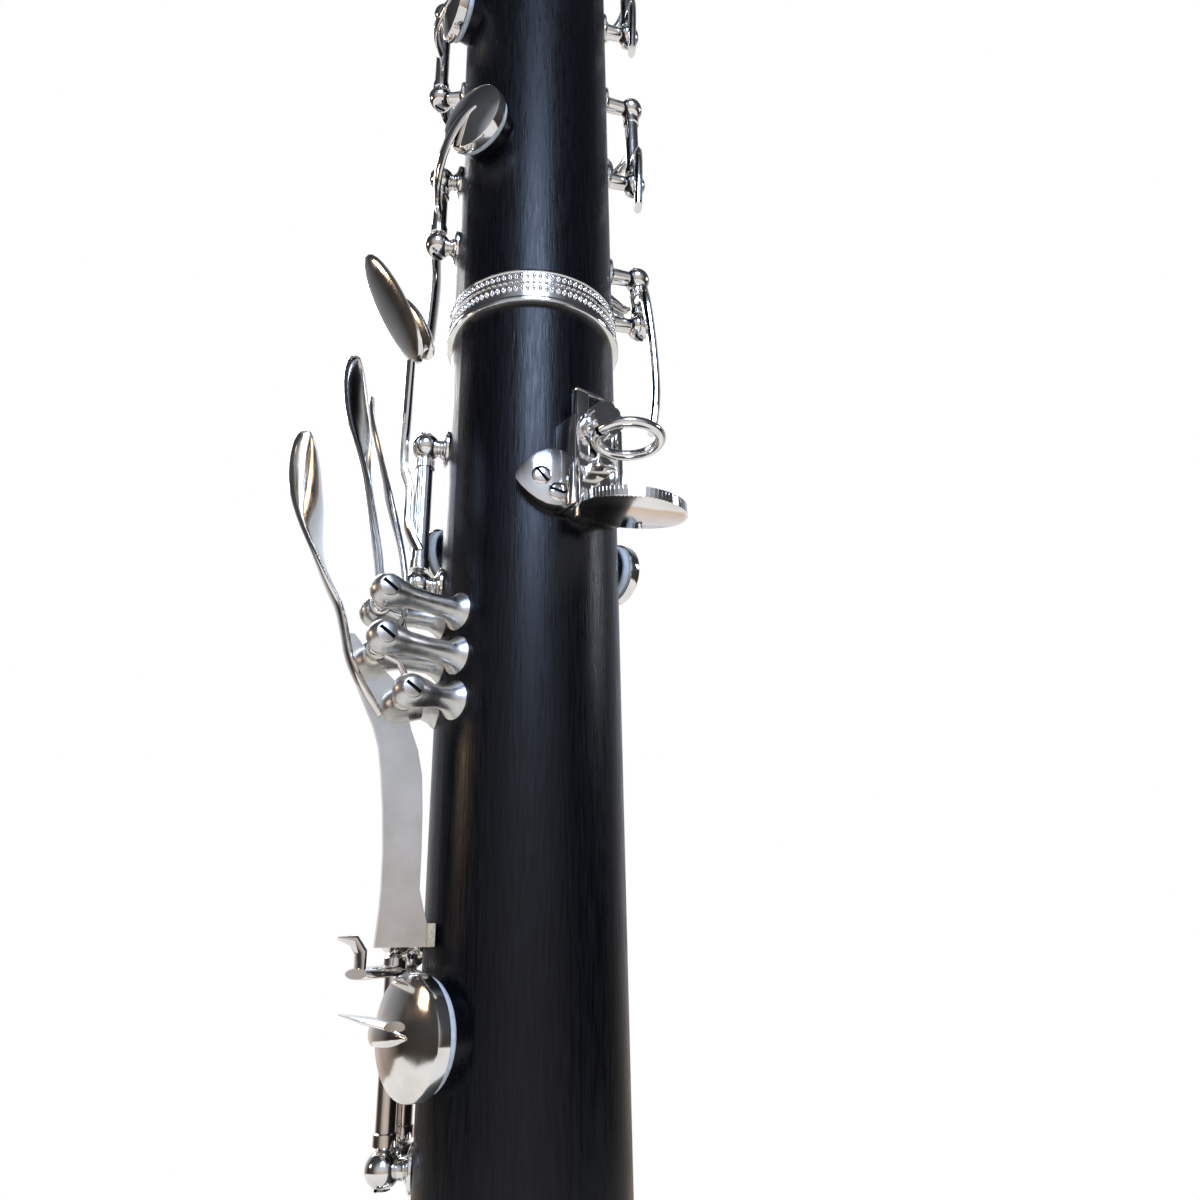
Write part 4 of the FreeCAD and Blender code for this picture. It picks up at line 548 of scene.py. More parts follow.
@dataclass
class BodyRing:
    """A turned ring on the body with a rolled lip and two rows of beads.

    A bead is stretched outwards, round the ring and up by bead_stretch, and a row's height counts
    from the lip's end.
    """

    node: str
    body: str
    lip_low: bool
    length: float = 9.0
    wall_r: float = 17.4
    face_r: float = 18.75
    lip_r: float = 19.3
    end_r: float = 18.1
    groove: float = 0.35
    bead_r: float = 0.62
    bead_sink: float = 0.25
    bead_stretch: tuple[float, float, float] = (0.75, 0.72, 1.25)
    beads: int = 88
    bead_rows: tuple[float, ...] = (3.9, 7.0)

    def build(self) -> None:
        """Turn the ring and press its beads."""
        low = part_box(self.node)[0].z / MM
        face, lip, band = self.face_r, self.lip_r, self.face_r - self.groove
        profile = [(self.wall_r, 0.0), (lip - 0.4, 0.0), (lip - 0.1, 0.15), (lip, 0.45), (lip, 1.0),
                   (lip - 0.1, 1.35), (lip - 0.4, 1.55), (face, 1.7), (face, 2.5), (band, 2.7),
                   (band, 5.1), (face + 0.15, 5.3), (face + 0.15, 5.8), (band, 6.0),
                   (band, 7.9), (face - 0.1, 8.1), (face - 0.3, 8.7), (self.end_r, self.length),
                   (self.wall_r, self.length)]
        if not self.lip_low:
            profile = [(r, self.length - z) for r, z in reversed(profile)]
        piece = Piece(self.node + "_turned")
        piece.turned(Vector((0.0, 0.0, low)), UP, profile, 96)
        for row in self.bead_rows:
            height = (low + (row if self.lip_low else self.length - row)) * MM
            place = ((face - self.bead_sink) * MM, 0.0, height)
            bpy.ops.mesh.select_all(action="DESELECT")
            bpy.ops.mesh.primitive_ico_sphere_add(subdivisions=2, radius=self.bead_r * MM, location=place)
            bpy.ops.transform.resize(value=self.bead_stretch, center_override=place)
            bpy.ops.mesh.spin(steps=self.beads - 1, dupli=True, center=(0.0, 0.0, height),
                              axis=UP, angle=math.tau * (self.beads - 1) / self.beads)
        piece.finish(SILVER, self.body, Slot.SILVER, [self.node])


@dataclass
class PostSet:
    """The ball posts at both ends of a list of keys, with their slotted rod screws."""

    name: str
    node: str
    keys: Sequence["Key"]
    ball_r: float = 3.0
    neck_r: float = 1.75
    foot_r: float = 3.9
    gap: float = 0.1
    slot_half: float = 1.3
    slot_half_w: float = 0.24
    slot_turn: float = 35.0

    def build(self) -> None:
        """Turn every post, and lay a near-black block of painted shade, for the rod screw's slot, on each
        ball's outer pole.
        """
        posts = Piece(self.name)
        for key, height, _ in self._ends():
            self._post(posts, key, height)
        posts.finish(SILVER, "body", Slot.SILVER, [self.node])
        # Near-black blocks that paint the shade in each rod screw's slot.
        slots = Piece(self.name + "_slots")
        for key, height, sign in self._ends():
            self._slot(slots, key, height, sign)
        slots.finish(SLOT_PAINTED_SHADE, "body", Slot.STEEL)

    def _ends(self) -> list[tuple["Key", float, float]]:
        """Give each key's two posts.

        Returns:
            The key, the ball's height, and 1 for the key's upper end or -1 for its lower.
        """
        reach = self.ball_r + self.gap
        return [(key, RING_Z + end + sign * reach, sign) for key in self.keys
                for sign, end in ((-1.0, key.tube_low), (1.0, key.tube_top))]

    def _post(self, piece: Piece, key: "Key", height: float) -> None:
        """Turn one post outwards from the body to its ball.

        Args:
            piece: The piece that it is added to.
            key: The key that it carries.
            height: Height of its ball.
        """
        out = key.hinge_off
        ball, neck, foot = self.ball_r, self.neck_r, self.foot_r
        profile = [(foot - 0.4, -0.5), (foot, -0.2), (foot, 0.25), (foot - 0.25, 0.55),
                   (neck + 0.7, 0.9), (neck + 0.15, 1.4), (neck, max(out - ball - 0.2, 1.6))]
        start = math.degrees(math.asin(neck / ball))
        steps = 9
        for index in range(steps + 1):
            angle = math.radians(start + (180.0 - start) * index / steps)
            profile.append((ball * math.sin(angle), out - ball * math.cos(angle)))
        azimuth = key.hinge_az
        piece.turned(polar(BODY_R, azimuth, height), polar(1.0, azimuth, 0.0), profile, 22)

    def _slot(self, piece: Piece, key: "Key", height: float, sign: float) -> None:
        """Lay a narrow near-black block over the pole of a post's ball: painted shade for the slot of its
        rod screw.

        Args:
            piece: The piece that it is added to.
            key: The key that the post carries.
            height: Height of the post's ball.
            sign: 1 at the key's upper end and -1 at its lower.
        """
        centre = polar(BODY_R + key.hinge_off, key.hinge_az, height + sign * (self.ball_r - 0.32))
        across = polar(1.0, key.hinge_az + self.slot_turn, 0.0)
        piece.block(centre, UP, across, (self.slot_half, self.slot_half_w), (sign * -0.2, sign * 0.4))


# ---------------------------------------------------------------- keys


@dataclass(frozen=True)
class Touch:
    """An oval touch and the strip that carries it.

    Attributes:
        path: (radius, azimuth, height) points along the strip.
        leaf: Radius, azimuth, height, half length, half width and lean of the oval, or None.
        turn: How far the oval is turned about its length, in degrees.
    """

    path: tuple[tuple[float, float, float], ...] = ()
    leaf: Optional[tuple[float, float, float, float, float, float]] = None
    turn: float = 0.0


@dataclass(frozen=True)
class Key:
    """A padded key on a hinge rod that runs along the body.

    Attributes:
        name: The key's body and node.
        hinge_az: Azimuth of the hinge.
        hinge_off: Distance of the hinge from the body's surface.
        tube_low: Height of the tube's lower end, from the middle ring.
        tube_top: Height of its upper end.
        cup_az: Azimuth of the cup.
        cup_z: Height of the cup.
        pad_r: Radius of the pad.
        open: How far the key stands open at rest.
        touches: Its touches.
        plate: Whether a round finger plate lies on the cup.
        leave_z: Where the arm leaves the tube, when it isn't level with the cup.
        seat_r: Radius at which a closed pad meets its tone hole.
        tube_r: Radius of the tube's collars.
        rim: How far the pad stands out of its cup.
        cup_len: Height of the cup's wall.
        peak: Height of the cone on it.
        pad_t: Thickness of the pad that shows.
        arm_over: How far the arm's line lies over the cup's wall.
    """

    name: str
    hinge_az: float
    hinge_off: float
    tube_low: float
    tube_top: float
    cup_az: float
    cup_z: float
    pad_r: float
    open: float
    touches: tuple[Touch, ...] = ()
    plate: bool = False
    leave_z: Optional[float] = None

    seat_r = BODY_R + 2.08
    tube_r = 2.0
    rim = 1.5
    cup_len = 2.4
    peak = 1.6
    pad_t = 1.66
    arm_over = 0.9

    def place(self) -> Matrix:
        """Give the turn that stands the key at its rest angle.

        Returns:
            A matrix that turns about the hinge, away from the cup's tone hole.
        """
        side = -1.0 if self.cup_az > self.hinge_az else 1.0
        hinge = polar(BODY_R + self.hinge_off, self.hinge_az, 0.0)
        turn = Matrix.Rotation(math.radians(side * self.open), 4, "Z")
        return Matrix.Translation(hinge) @ turn @ Matrix.Translation(-hinge)

    def build(self) -> None:
        """Shape the key's metal and its pad."""
        piece = Piece(self.name + "_metal", self.place())
        self._tube(piece)
        self._cup(piece)
        self._arm(piece)
        for touch in self.touches:
            self._touch(piece, touch)
        self._extra(piece)
        piece.finish(SILVER, self.name, Slot.SILVER, [self.name])
        self._pad()

    def _extra(self, piece: Piece) -> None:
        """Add what only this key has; a plain key has nothing more."""

    def _tube(self, piece: Piece) -> None:
        """Turn the hinge tube with a collar at each end.

        Args:
            piece: The piece that it is added to.
        """
        base = polar(BODY_R + self.hinge_off, self.hinge_az, RING_Z + self.tube_low)
        length = self.tube_top - self.tube_low
        collar = min(2.2, length * 0.2)
        wide, slim = self.tube_r, self.tube_r - 0.3
        profile = [(BORE_R, 0.0), (wide - 0.2, 0.0), (wide, 0.2), (wide, collar - 0.2), (slim, collar),
                   (slim, length - collar), (wide, length - collar + 0.2), (wide, length - 0.2),
                   (wide - 0.2, length), (BORE_R, length)]
        piece.turned(base, UP, profile, 24)

    def _cup(self, piece: Piece) -> None:
        """Spin the cup: a short wall and a shallow cone that peaks under the arm.

        Args:
            piece: The piece that it is added to.
        """
        out = polar(1.0, self.cup_az, 0.0)
        base = polar(self.seat_r + self.rim, self.cup_az, RING_Z + self.cup_z)
        wall = self.pad_r + 0.7
        profile = [(self.pad_r - 0.4, 0.5), (self.pad_r - 0.1, 0.05), (wall - 0.15, 0.0), (wall, 0.15),
                   (wall, self.cup_len - 0.45), (wall - 0.12, self.cup_len - 0.15),
                   (wall - 0.5, self.cup_len + 0.05), (wall * 0.66, self.cup_len + self.peak * 0.4),
                   (wall * 0.33, self.cup_len + self.peak * 0.8), (0.9, self.cup_len + self.peak),
                   (0.0, self.cup_len + self.peak)]
        piece.turned(base, out, profile, 48)
        if self.plate:
            top = base + out * (self.cup_len + self.peak)
            disc = self.pad_r - 0.3
            piece.turned(top, out, [(disc - 0.6, -0.6), (disc, -0.3), (disc + 0.1, 0.0), (disc, 0.3),
                                    (disc - 0.5, 0.4), (disc * 0.7, 0.22), (disc * 0.35, 0.1),
                                    (0.0, 0.06)], 44)

    def _arm(self, piece: Piece) -> None:
        """Draw the forged arm from the tube over the cup to a point past its middle.

        Args:
            piece: The piece that it is added to.
        """
        height = RING_Z + self.cup_z
        collar = 2.2
        low = RING_Z + self.tube_low + collar
        top = RING_Z + self.tube_top - collar
        leave = min(max(height, low), top)
        elbow_z = height
        if self.leave_z is not None:
            leave = RING_Z + self.leave_z
            elbow_z = leave
        radius = BODY_R + self.hinge_off
        frame_of_cup = Matrix.Rotation(math.radians(self.cup_az), 3, "Z")
        lateral = radius * math.sin(math.radians(self.hinge_az - self.cup_az))
        over = self.seat_r + self.rim + self.cup_len + self.arm_over
        reach = math.copysign(min(self.pad_r + 1.9, abs(lateral) * 0.85), lateral)
        start = polar(radius, self.hinge_az, leave)
        bend = frame_of_cup @ Vector((over + 2.2, reach, elbow_z))
        crown = frame_of_cup @ Vector((over + 0.6, reach * 0.35, height))
        end = frame_of_cup @ Vector((over + 0.5, -math.copysign(2.6, reach), height))
        path = bezier([start, bend, crown, end], 10)
        sizes = [(2.3, 1.0), (2.2, 0.95), (2.05, 0.9), (1.9, 0.85), (1.8, 0.8), (1.7, 0.75),
                 (1.6, 0.7), (1.45, 0.65), (1.0, 0.5), (0.25, 0.25)]
        piece.loft(rings_along(path, outward, sizes), 14)

    def _touch(self, piece: Piece, touch: Touch) -> None:
        """Draw a touch's strip and its oval leaf.

        Args:
            piece: The piece that they are added to.
            touch: The touch.
        """
        points = [polar(r, az, RING_Z + z) for r, az, z in touch.path]
        if len(points) > 1:
            path = smooth_path(points, 4)
            count = len(path)
            sizes = [(2.3 - 0.3 * i / count, 1.15 - 0.15 * i / count) for i in range(count)]
            piece.loft(rings_along(path, outward, sizes), 14)
        if touch.leaf is None:
            return
        radius, azimuth, height, half_len, half_w, lean = touch.leaf
        side = polar(1.0, azimuth + 90.0 - touch.turn, 0.0)
        tilt = Matrix.Rotation(math.radians(lean), 3, polar(1.0, azimuth + 90.0, 0.0))
        along = tilt @ UP
        centre = polar(radius, azimuth, RING_Z + height)
        piece.loft(leaf_rings(centre, along, side, half_len, half_w, 0.75), 20)

    def _pad(self) -> None:
        """Turn the pad that stands out of the cup, with a rolled edge."""
        out = polar(1.0, self.cup_az, 0.0)
        base = polar(self.seat_r - 0.02, self.cup_az, RING_Z + self.cup_z)
        edge = self.pad_r + 0.12
        profile = [(0.0, 0.02), (edge - 0.9, 0.0), (edge - 0.3, 0.08), (edge, 0.4), (edge + 0.08, 0.85),
                   (edge, 1.3), (edge - 0.3, self.pad_t - 0.04), (0.0, self.pad_t)]
        pad = Piece(self.name + "_pad_skin", self.place())
        pad.turned(base, out, profile, 40)
        made = pad.finish(PAD_SKIN, self.name, Slot.SILVER)


@dataclass(frozen=True)
class VentKey(Key):
    """The large padded key that the long lever lifts, with its level arm, hook and spike.

    Attributes:
        arm_z: Height of the level arm.
        arm_end: End of the arm in the levers' frame.
        hook_line: The hook's points: x in the levers' frame and height over the arm.
        hook_y: The hook's place across the levers' frame.
        spike_tip: Radius, azimuth and height of the spike's tip.
    """

    arm_z: float = -127.8
    arm_end: tuple[float, float] = (29.6, 6.0)
    hook_line: tuple[tuple[float, float], ...] = ((29.4, -0.4), (29.4, 1.6), (29.4, 3.2), (30.6, 5.0),
                                                  (33.2, 5.4))
    hook_y: float = 5.0
    spike_tip: tuple[float, float, float] = (31.5, -32.0, -134.6)

    def _extra(self, piece: Piece) -> None:
        """Add the level arm, the pointed hook at its end and the thin spike over the cup.

        Args:
            piece: The piece that they are added to.
        """
        top = RING_Z + self.arm_z
        lever = Matrix.Rotation(math.radians(LEVER_AZ), 3, "Z")
        start = polar(BODY_R + self.hinge_off, self.hinge_az, top)
        end = lever @ Vector((*self.arm_end, top))
        ahead = end - start
        across = UP.cross(ahead)
        rings = [Ring(start.lerp(end, share), ahead, across, half_w, 1.0)
                 for share, half_w in ((0.0, 1.9), (0.45, 3.0), (0.9, 3.1))]
        rings.append(Ring(end + ahead.normalized() * 1.2, ahead, across, 1.8, 0.8))
        piece.loft(rings, 16)
        hook = [lever @ Vector((x, self.hook_y, top + z)) for x, z in self.hook_line]
        hook_sizes = [(2.0, 0.8), (2.0, 0.8), (1.9, 0.9), (1.4, 0.9), (0.3, 0.2)]
        piece.loft(rings_along(hook, outward, hook_sizes), 12)
        cup = polar(self.seat_r + self.rim + self.cup_len + 1.9, self.cup_az, RING_Z + self.cup_z + 1.6)
        radius, azimuth, height = self.spike_tip
        tip = polar(radius, azimuth, RING_Z + height)
        spike = [cup, cup.lerp(tip, 0.5), tip]
        piece.loft(rings_along(spike, lambda _: UP, [(1.9, 0.75), (1.6, 0.6), (0.2, 0.15)]), 12)


def smooth_path(points: Sequence[Vector], steps: int) -> list[Vector]:
    """Give a smooth path through points.

    Args:
        points: The points in order.
        steps: How many steps to take between two of them.

    Returns:
        The path's points, with all the given points on it.
    """
    path = []
    for index in range(len(points) - 1):
        before = points[max(index - 1, 0)]
        start, end = points[index], points[index + 1]
        after = points[min(index + 2, len(points) - 1)]
        lead, trail = (end - before) / 6.0, (after - start) / 6.0
        path.extend(bezier([start, start + lead, end - trail, end], steps + 1)[:-1])
    path.append(points[-1])
    return path


def leaf_rings(centre: Vector, along: Vector, side: Vector, half_len: float, half_w: float,
               half_t: float) -> list[Ring]:
    """Give the sections of an oval touch that is thin at its edge.

    Args:
        centre: Its middle.
        along: Direction of its length.
        side: Direction of its width.
        half_len: Half of its length.
        half_w: Half of its width.
        half_t: Half of its thickness.

    Returns:
        Its sections from one end to the other.
    """
    rings = []
    steps = 14
    for index in range(steps + 1):
        angle = math.pi * index / steps
        share = math.sin(angle)
        width = max(half_w * share, 0.12)
        thick = max(half_t * min(1.0, share * 1.6), 0.12)
        rings.append(Ring(centre - along * half_len * math.cos(angle), along, side, width, thick))
    return rings


# ---------------------------------------------------------------- left-hand levers


LEVER_TURN = Matrix.Rotation(math.radians(LEVER_AZ), 4, "Z")


@dataclass(frozen=True)
class Lever:
    """A left-hand lever: leaf touch, bent stem and pivot tube, in a frame turned to face it.

    Attributes:
        name: The lever's body and node.
        pivot: Distance from the body's axis and height of its pivot.
        line: Distance and height of points along it, from its tip down.
        tip_z: Height of its tip.
        widest_z: Height at which its touch is widest.
        foot_z: Height at which its stem ends.
        wide: Half width of its touch.
        narrow: Half width of its stem.
        middle: Place of its stem across the levers' frame.
        low_y: Where its pivot tube starts, across the frame.
        high_y: Where its pivot tube ends.
        slant: How far its touch stands aside of its stem.
        twist: How far its touch is turned about its length.
        tail: Distance and height of points along its tail.
        tail_y: Place of its tail across the frame.
        half_t: Half of its thickness.
        tube_r: Radius of its pivot tube.
        tail_half: Half width of its tail.
        swing_from: Height at which the stem starts to swing aside.
        swing_over: Height over which it does so.
        twist_over: Height over which the touch turns.
    """

    name: str
    pivot: tuple[float, float]
    line: tuple[tuple[float, float], ...]
    tip_z: float
    widest_z: float
    foot_z: float
    wide: float
    narrow: float
    middle: float
    low_y: float
    high_y: float
    slant: float = 0.0
    twist: float = 0.0
    tail: tuple[tuple[float, float], ...] = ()
    tail_y: float = 0.0

    half_t = 0.8
    tube_r = 2.0
    tail_half = 0.65
    swing_from = -62.0
    swing_over = 36.0
    twist_over = 26.0

    def half_width(self, height: float) -> float:
        """Give half the lever's width: a round tip, the widest place and a taper to the stem.

        Args:
            height: Height from the middle ring.

        Returns:
            Half of the width there.
        """
        if height >= self.widest_z:
            share = (self.tip_z - height) / (self.tip_z - self.widest_z)
            return max(self.wide * math.sqrt(max(1.0 - (1.0 - share) ** 2, 0.0)), 0.25)
        share = min((self.widest_z - height) / (self.widest_z - self.foot_z) * 1.7, 1.0)
        return self.narrow + (self.wide - self.narrow) * (0.5 + 0.5 * math.cos(math.pi * share))

    def sideways(self, height: float) -> float:
        """Give how far the lever has swung aside at a height, on its way to its touch."""
        return self.middle - self.slant * ease((height - self.swing_from) / self.swing_over)

    def width_line(self, height: float) -> Vector:
        """Give the direction of the lever's width, which turns outwards towards its tip."""
        angle = math.radians(self.twist) * ease((height - self.widest_z) / self.twist_over + 1.0)
        return Vector((math.sin(angle), math.cos(angle), 0.0))

    def build(self) -> None:
        """Shape the lever."""
        piece = Piece(self.name + "_metal", LEVER_TURN)
        points = [Vector((x, self.sideways(z), z)) for x, z in self.line]
        path = smooth_path(points, 4)
        widths = [self.half_width(p.z) for p in path]
        rings = []
        for index, point in enumerate(path):
            half_t = self.half_t * (0.55 + 0.45 * min(widths[index] / 1.5, 1.0))
            lifted = point + Vector((0.0, 0.0, RING_Z))
            rings.append(Ring(lifted, heading(path, index), self.width_line(point.z), widths[index], half_t))
        piece.loft(rings, 20)
        base = Vector((self.pivot[0], self.low_y, RING_Z + self.pivot[1]))
        span = self.high_y - self.low_y
        wide, edge = self.tube_r, self.tube_r - 0.15
        profile = [(BORE_R, 0.0), (edge, 0.0), (wide, 0.2), (wide, span - 0.2), (edge, span), (BORE_R, span)]
        piece.turned(base, BACK, profile, 24)
        if self.tail:
            tail = [Vector((x, self.tail_y, RING_Z + z)) for x, z in self.tail]
            piece.loft(rings_along(tail, lambda _: LEFT, [(self.tail_half, self.tail_half)] * len(tail)), 10)
        self._extra(piece)
        piece.finish(SILVER, self.name, Slot.SILVER, [self.name])

    def _extra(self, piece: Piece) -> None:
        """Add what only this lever has; a short lever has nothing more."""


@dataclass(frozen=True)
class PlateLever(Lever):
    """The long lever, whose lower end is a flat plate standing on edge with a cork.

    Attributes:
        plate: Inner edge, outer edge and height of sections down the plate.
        plate_half: Half of the plate's thickness.
        cork_x: Middle of the cork, from the body's axis.
        cork_half: Half of the cork's thickness and half of its width.
        cork_ends: Heights of the cork's ends.
    """

    plate: tuple[tuple[float, float, float], ...] = (
        (34.6, 36.6, -71.5), (31.6, 35.9, -75.0), (28.4, 34.7, -78.2), (25.6, 33.4, -80.8),
        (24.6, 31.9, -84.0), (23.6, 30.0, -88.0), (22.2, 28.9, -91.5), (21.2, 28.2, -96.0),
        (20.8, 27.5, -102.0), (20.6, 27.0, -109.0), (20.6, 26.9, -115.0), (19.8, 27.0, -118.0),
        (19.0, 27.2, -121.0), (18.9, 27.4, -124.0))
    plate_half: float = 0.72
    cork_x: float = 18.42
    cork_half: tuple[float, float] = (0.62, 1.65)
    cork_ends: tuple[float, float] = (-124.05, -120.35)

    def _extra(self, piece: Piece) -> None:
        """Add the plate, square in section.

        Args:
            piece: The piece that it is added to.
        """
        rings = []
        for inner, outer, height in self.plate:
            centre = Vector(((inner + outer) / 2.0, self.middle, RING_Z + height))
            rings.append(Ring(centre, -UP, LEFT, (outer - inner) / 2.0, self.plate_half))
        piece.loft(rings, square=True)

    def build(self) -> None:
        """Shape the lever and then its cork."""
        super().build()
        cork = Piece(self.name + "_cork", LEVER_TURN)
        cork.block(Vector((self.cork_x, self.middle, RING_Z)), UP, LEFT, self.cork_half, self.cork_ends)
        cork.finish(KEY_CORK, self.name, Slot.CORK, bevel_mm=0.2)


@dataclass
class LeverPosts:
    """Three pairs of tall flared posts with slotted pivot screws.

    The gaps are those between a lever's tube and the middles of its two posts.
    """

    levers: Sequence[Lever]
    rear_gap: float = 4.4
    front_gap: float = 3.2
    head_r: float = 3.1
    face_sink: float = 0.55
    screw_len: float = 16.6
    slot_half: float = 1.55
    slot_half_w: float = 0.3

    def build(self) -> None:
        """Turn the posts and their screws, and lay a near-black block of painted shade in each screw's slot.
        """
        posts = Piece("lever_posts_turned", LEVER_TURN)
        for lever in self.levers:
            for y in (lever.high_y + self.rear_gap, lever.low_y - self.front_gap):
                self._post(posts, Vector((lever.pivot[0], y, 0.0)), RING_Z + lever.pivot[1])
        posts.finish(NICKEL, "body", Slot.NICKEL, ["lever_posts"])
        pole = self.rear_gap + self.head_r - self.face_sink
        faces = [Vector((lever.pivot[0], lever.high_y + pole, RING_Z + lever.pivot[1]))
                 for lever in self.levers]
        head = [(1.0, -self.screw_len), (1.05, -0.6), (1.75, -0.4), (1.85, 0.1), (1.75, 0.42),
                (1.2, 0.62), (0.0, 0.7)]
        screws = Piece("lever_pivot_screws", LEVER_TURN)
        for face in faces:
            screws.turned(face, BACK, head, 28)
        screws.finish(NICKEL, "body", Slot.STEEL, ["lever_screws"])
        across = Vector((0.8, 0.0, 0.6)).normalized()
        # Near-black blocks that paint the shade in each pivot screw's slot.
        slots = Piece("lever_screw_slots", LEVER_TURN)
        for face in faces:
            slots.block(face, BACK, across, (self.slot_half, self.slot_half_w), (0.1, 0.74))
        slots.finish(SLOT_PAINTED_SHADE, "body", Slot.STEEL)

    def _post(self, piece: Piece, head: Vector, height: float) -> None:
        """Turn one post: flared foot, long waist and a swelling head.

        Args:
            piece: The piece that it is added to.
            head: The head's place across the body, in the levers' frame.
            height: The head's height.
        """
        reach = math.hypot(head.x, head.y)
        out = Vector((head.x, head.y, 0.0)).normalized()
        length = reach - BODY_R
        head_r = self.head_r
        profile = [(3.3, -0.6), (3.6, -0.2), (3.6, 0.35), (3.3, 0.7), (2.7, 1.4), (2.15, 2.6),
                   (1.95, length * 0.45), (2.05, length - head_r * 1.45), (2.5, length - head_r * 0.95)]
        steps, first = 8, 62.0
        for index in range(1, steps + 1):
            angle = math.radians(first + (180.0 - first) * index / steps)
            profile.append((head_r * math.sin(angle), length - head_r * math.cos(angle)))
        piece.turned(out * BODY_R + UP * height, out, profile, 36)


# ---------------------------------------------------------------- thumb rest


@dataclass
class ThumbRest:
    """The lobed base, the slotted bar with its hook plate, and the round strap ring.

    Attributes:
        lobes: Half height of the base at distances from its middle line.
        guide_y: Where the guide's two walls end, towards the player.
        guide_down: How far the guide reaches below the base's middle; guide_up is the reach above.
        boss_up: Height of the clamp screw's round boss over the base's middle.
        screws: Azimuth, height over the base's middle and slot's turn of each wood screw.
        hook_from: Distance from the body's axis at which the hook plate starts to slope.
        hook_outline: Half width of the hook plate at distances from the body's axis.
    """

    base_z: float = -41.0
    base_t: float = 2.4
    lobes: tuple[tuple[float, float], ...] = (
        (0.0, 8.0), (2.5, 7.6), (4.2, 6.6), (5.6, 5.9), (7.0, 6.1), (8.6, 5.9), (10.2, 5.0),
        (11.6, 3.7), (12.7, 2.3), (13.6, 0.6))
    guide_half: float = 5.8
    guide_y: float = 23.8
    guide_down: float = 7.0
    guide_up: float = 12.0
    boss_up: float = 11.4
    screws: tuple[tuple[float, float, float], ...] = (
        (62.5, 0.0, 40.0), (117.5, 0.0, -30.0), (71.5, -3.2, 75.0), (108.5, -3.2, 10.0))
    bar_y: float = 20.9
    bar_t: float = 2.0
    bar_half: float = 4.5
    bar_play: float = 0.15
    bar_top: float = -22.0
    slot_low: float = -36.6
    slot_top: float = -22.6
    slot_half: float = 1.6
    hook_y: float = 33.2
    hook_r: float = 9.6
    hook_low: float = -49.4
    hook_from: float = 23.4
    hook_slope: float = -0.2
    hook_outline: tuple[tuple[float, float], ...] = (
        (21.6, 4.4), (23.4, 4.4), (24.3, 4.5), (25.0, 5.4), (26.6, 7.0), (28.6, 8.4), (30.8, 9.3),
        (33.2, 9.6), (35.8, 9.24), (38.0, 8.3), (40.0, 6.7), (41.4, 4.9), (42.3, 2.9), (42.7, 1.2))
    knurls: int = 46
    knurl_span: float = 200.0
    ring_y: float = 32.5
    ring_z: float = -37.0
    ring_r: float = 6.0
    wire_r: float = 1.0

    def build(self) -> None:
        """Shape all of it."""
        self._base()
        self._screws()
        self._bar_and_hook()
        self._strap_ring()

    @staticmethod
    def _block(piece: Piece, low: tuple[float, float, float], high: tuple[float, float, float]) -> None:
        """Add a square block.

        Args:
            piece: The piece that it is added to.
            low: Its lowest corner, with the height counted from the middle ring.
            high: Its highest corner, counted in the same way.
        """
        foot = Vector(((low[0] + high[0]) / 2.0, (low[1] + high[1]) / 2.0, RING_Z))
        half = ((high[0] - low[0]) / 2.0, (high[1] - low[1]) / 2.0)
        piece.block(foot, UP, LEFT, half, (low[2], high[2]))

    def _base(self) -> None:
        """Bend the lobed plate round the body and set the bar's guide on it."""
        piece = Piece("thumb_rest_base_plate")
        steps = [(-x, half) for x, half in reversed(self.lobes[1:])] + list(self.lobes)
        top = BODY_R + self.base_t
        middle = BODY_R + self.base_t / 2.0
        rings = []
        for x, half in steps:
            azimuth = 90.0 - math.degrees(math.asin(x / top))
            rings.append(Ring(polar(middle, azimuth, RING_Z + self.base_z), polar(1.0, azimuth - 90.0, 0.0),
                              UP, half, self.base_t / 2.0))
        piece.loft(rings, square=True)
        guide_low, guide_top = self.base_z - self.guide_down, self.base_z + self.guide_up
        inner = self.bar_half + self.bar_play
        for side in (-1.0, 1.0):
            near, far = sorted((side * inner, side * self.guide_half))
            self._block(piece, (near, BODY_R - 0.6, guide_low), (far, self.guide_y, guide_top))
        self._block(piece, (-inner - 0.05, BODY_R - 0.2, guide_low),
                    (inner + 0.05, self.bar_y - 0.12, guide_top))
        piece.turned(Vector((0.0, BODY_R - 0.4, RING_Z + self.base_z + self.boss_up)), BACK,
                     [(3.9, 0.0), (4.0, 0.3), (4.0, 2.9), (3.8, 3.2)], 32)
        piece.finish(SILVER, "body", Slot.SILVER, ["thumb_rest_base"], bevel_mm=0.22)

    def _screws(self) -> None:
        """Turn the four wood screws' heads and lay a near-black block of painted shade in each slot."""
        top = BODY_R + self.base_t
        head = [(1.2, 0.0), (1.9, 0.35), (1.95, 0.6), (1.7, 0.82), (1.1, 0.95), (0.0, 1.0)]
        heads = Piece("thumb_rest_screw_heads")
        for azimuth, drop, _ in self.screws:
            foot = polar(top - 0.5, azimuth, RING_Z + self.base_z + drop)
            heads.turned(foot, polar(1.0, azimuth, 0.0), head, 28)
        heads.finish(SILVER, "body", Slot.STEEL, ["thumb_rest_base_screws"])
        # Near-black blocks that paint the shade in each wood screw's slot.
        slots = Piece("thumb_rest_screw_slots")
        for azimuth, drop, turned in self.screws:
            out = polar(1.0, azimuth, 0.0)
            across = Matrix.Rotation(math.radians(turned), 3, out) @ UP
            foot = polar(top, azimuth, RING_Z + self.base_z + drop)
            slots.block(foot, out, across, (1.75, 0.28), (0.1, 0.53))
        slots.finish(SLOT_PAINTED_SHADE, "body", Slot.STEEL)

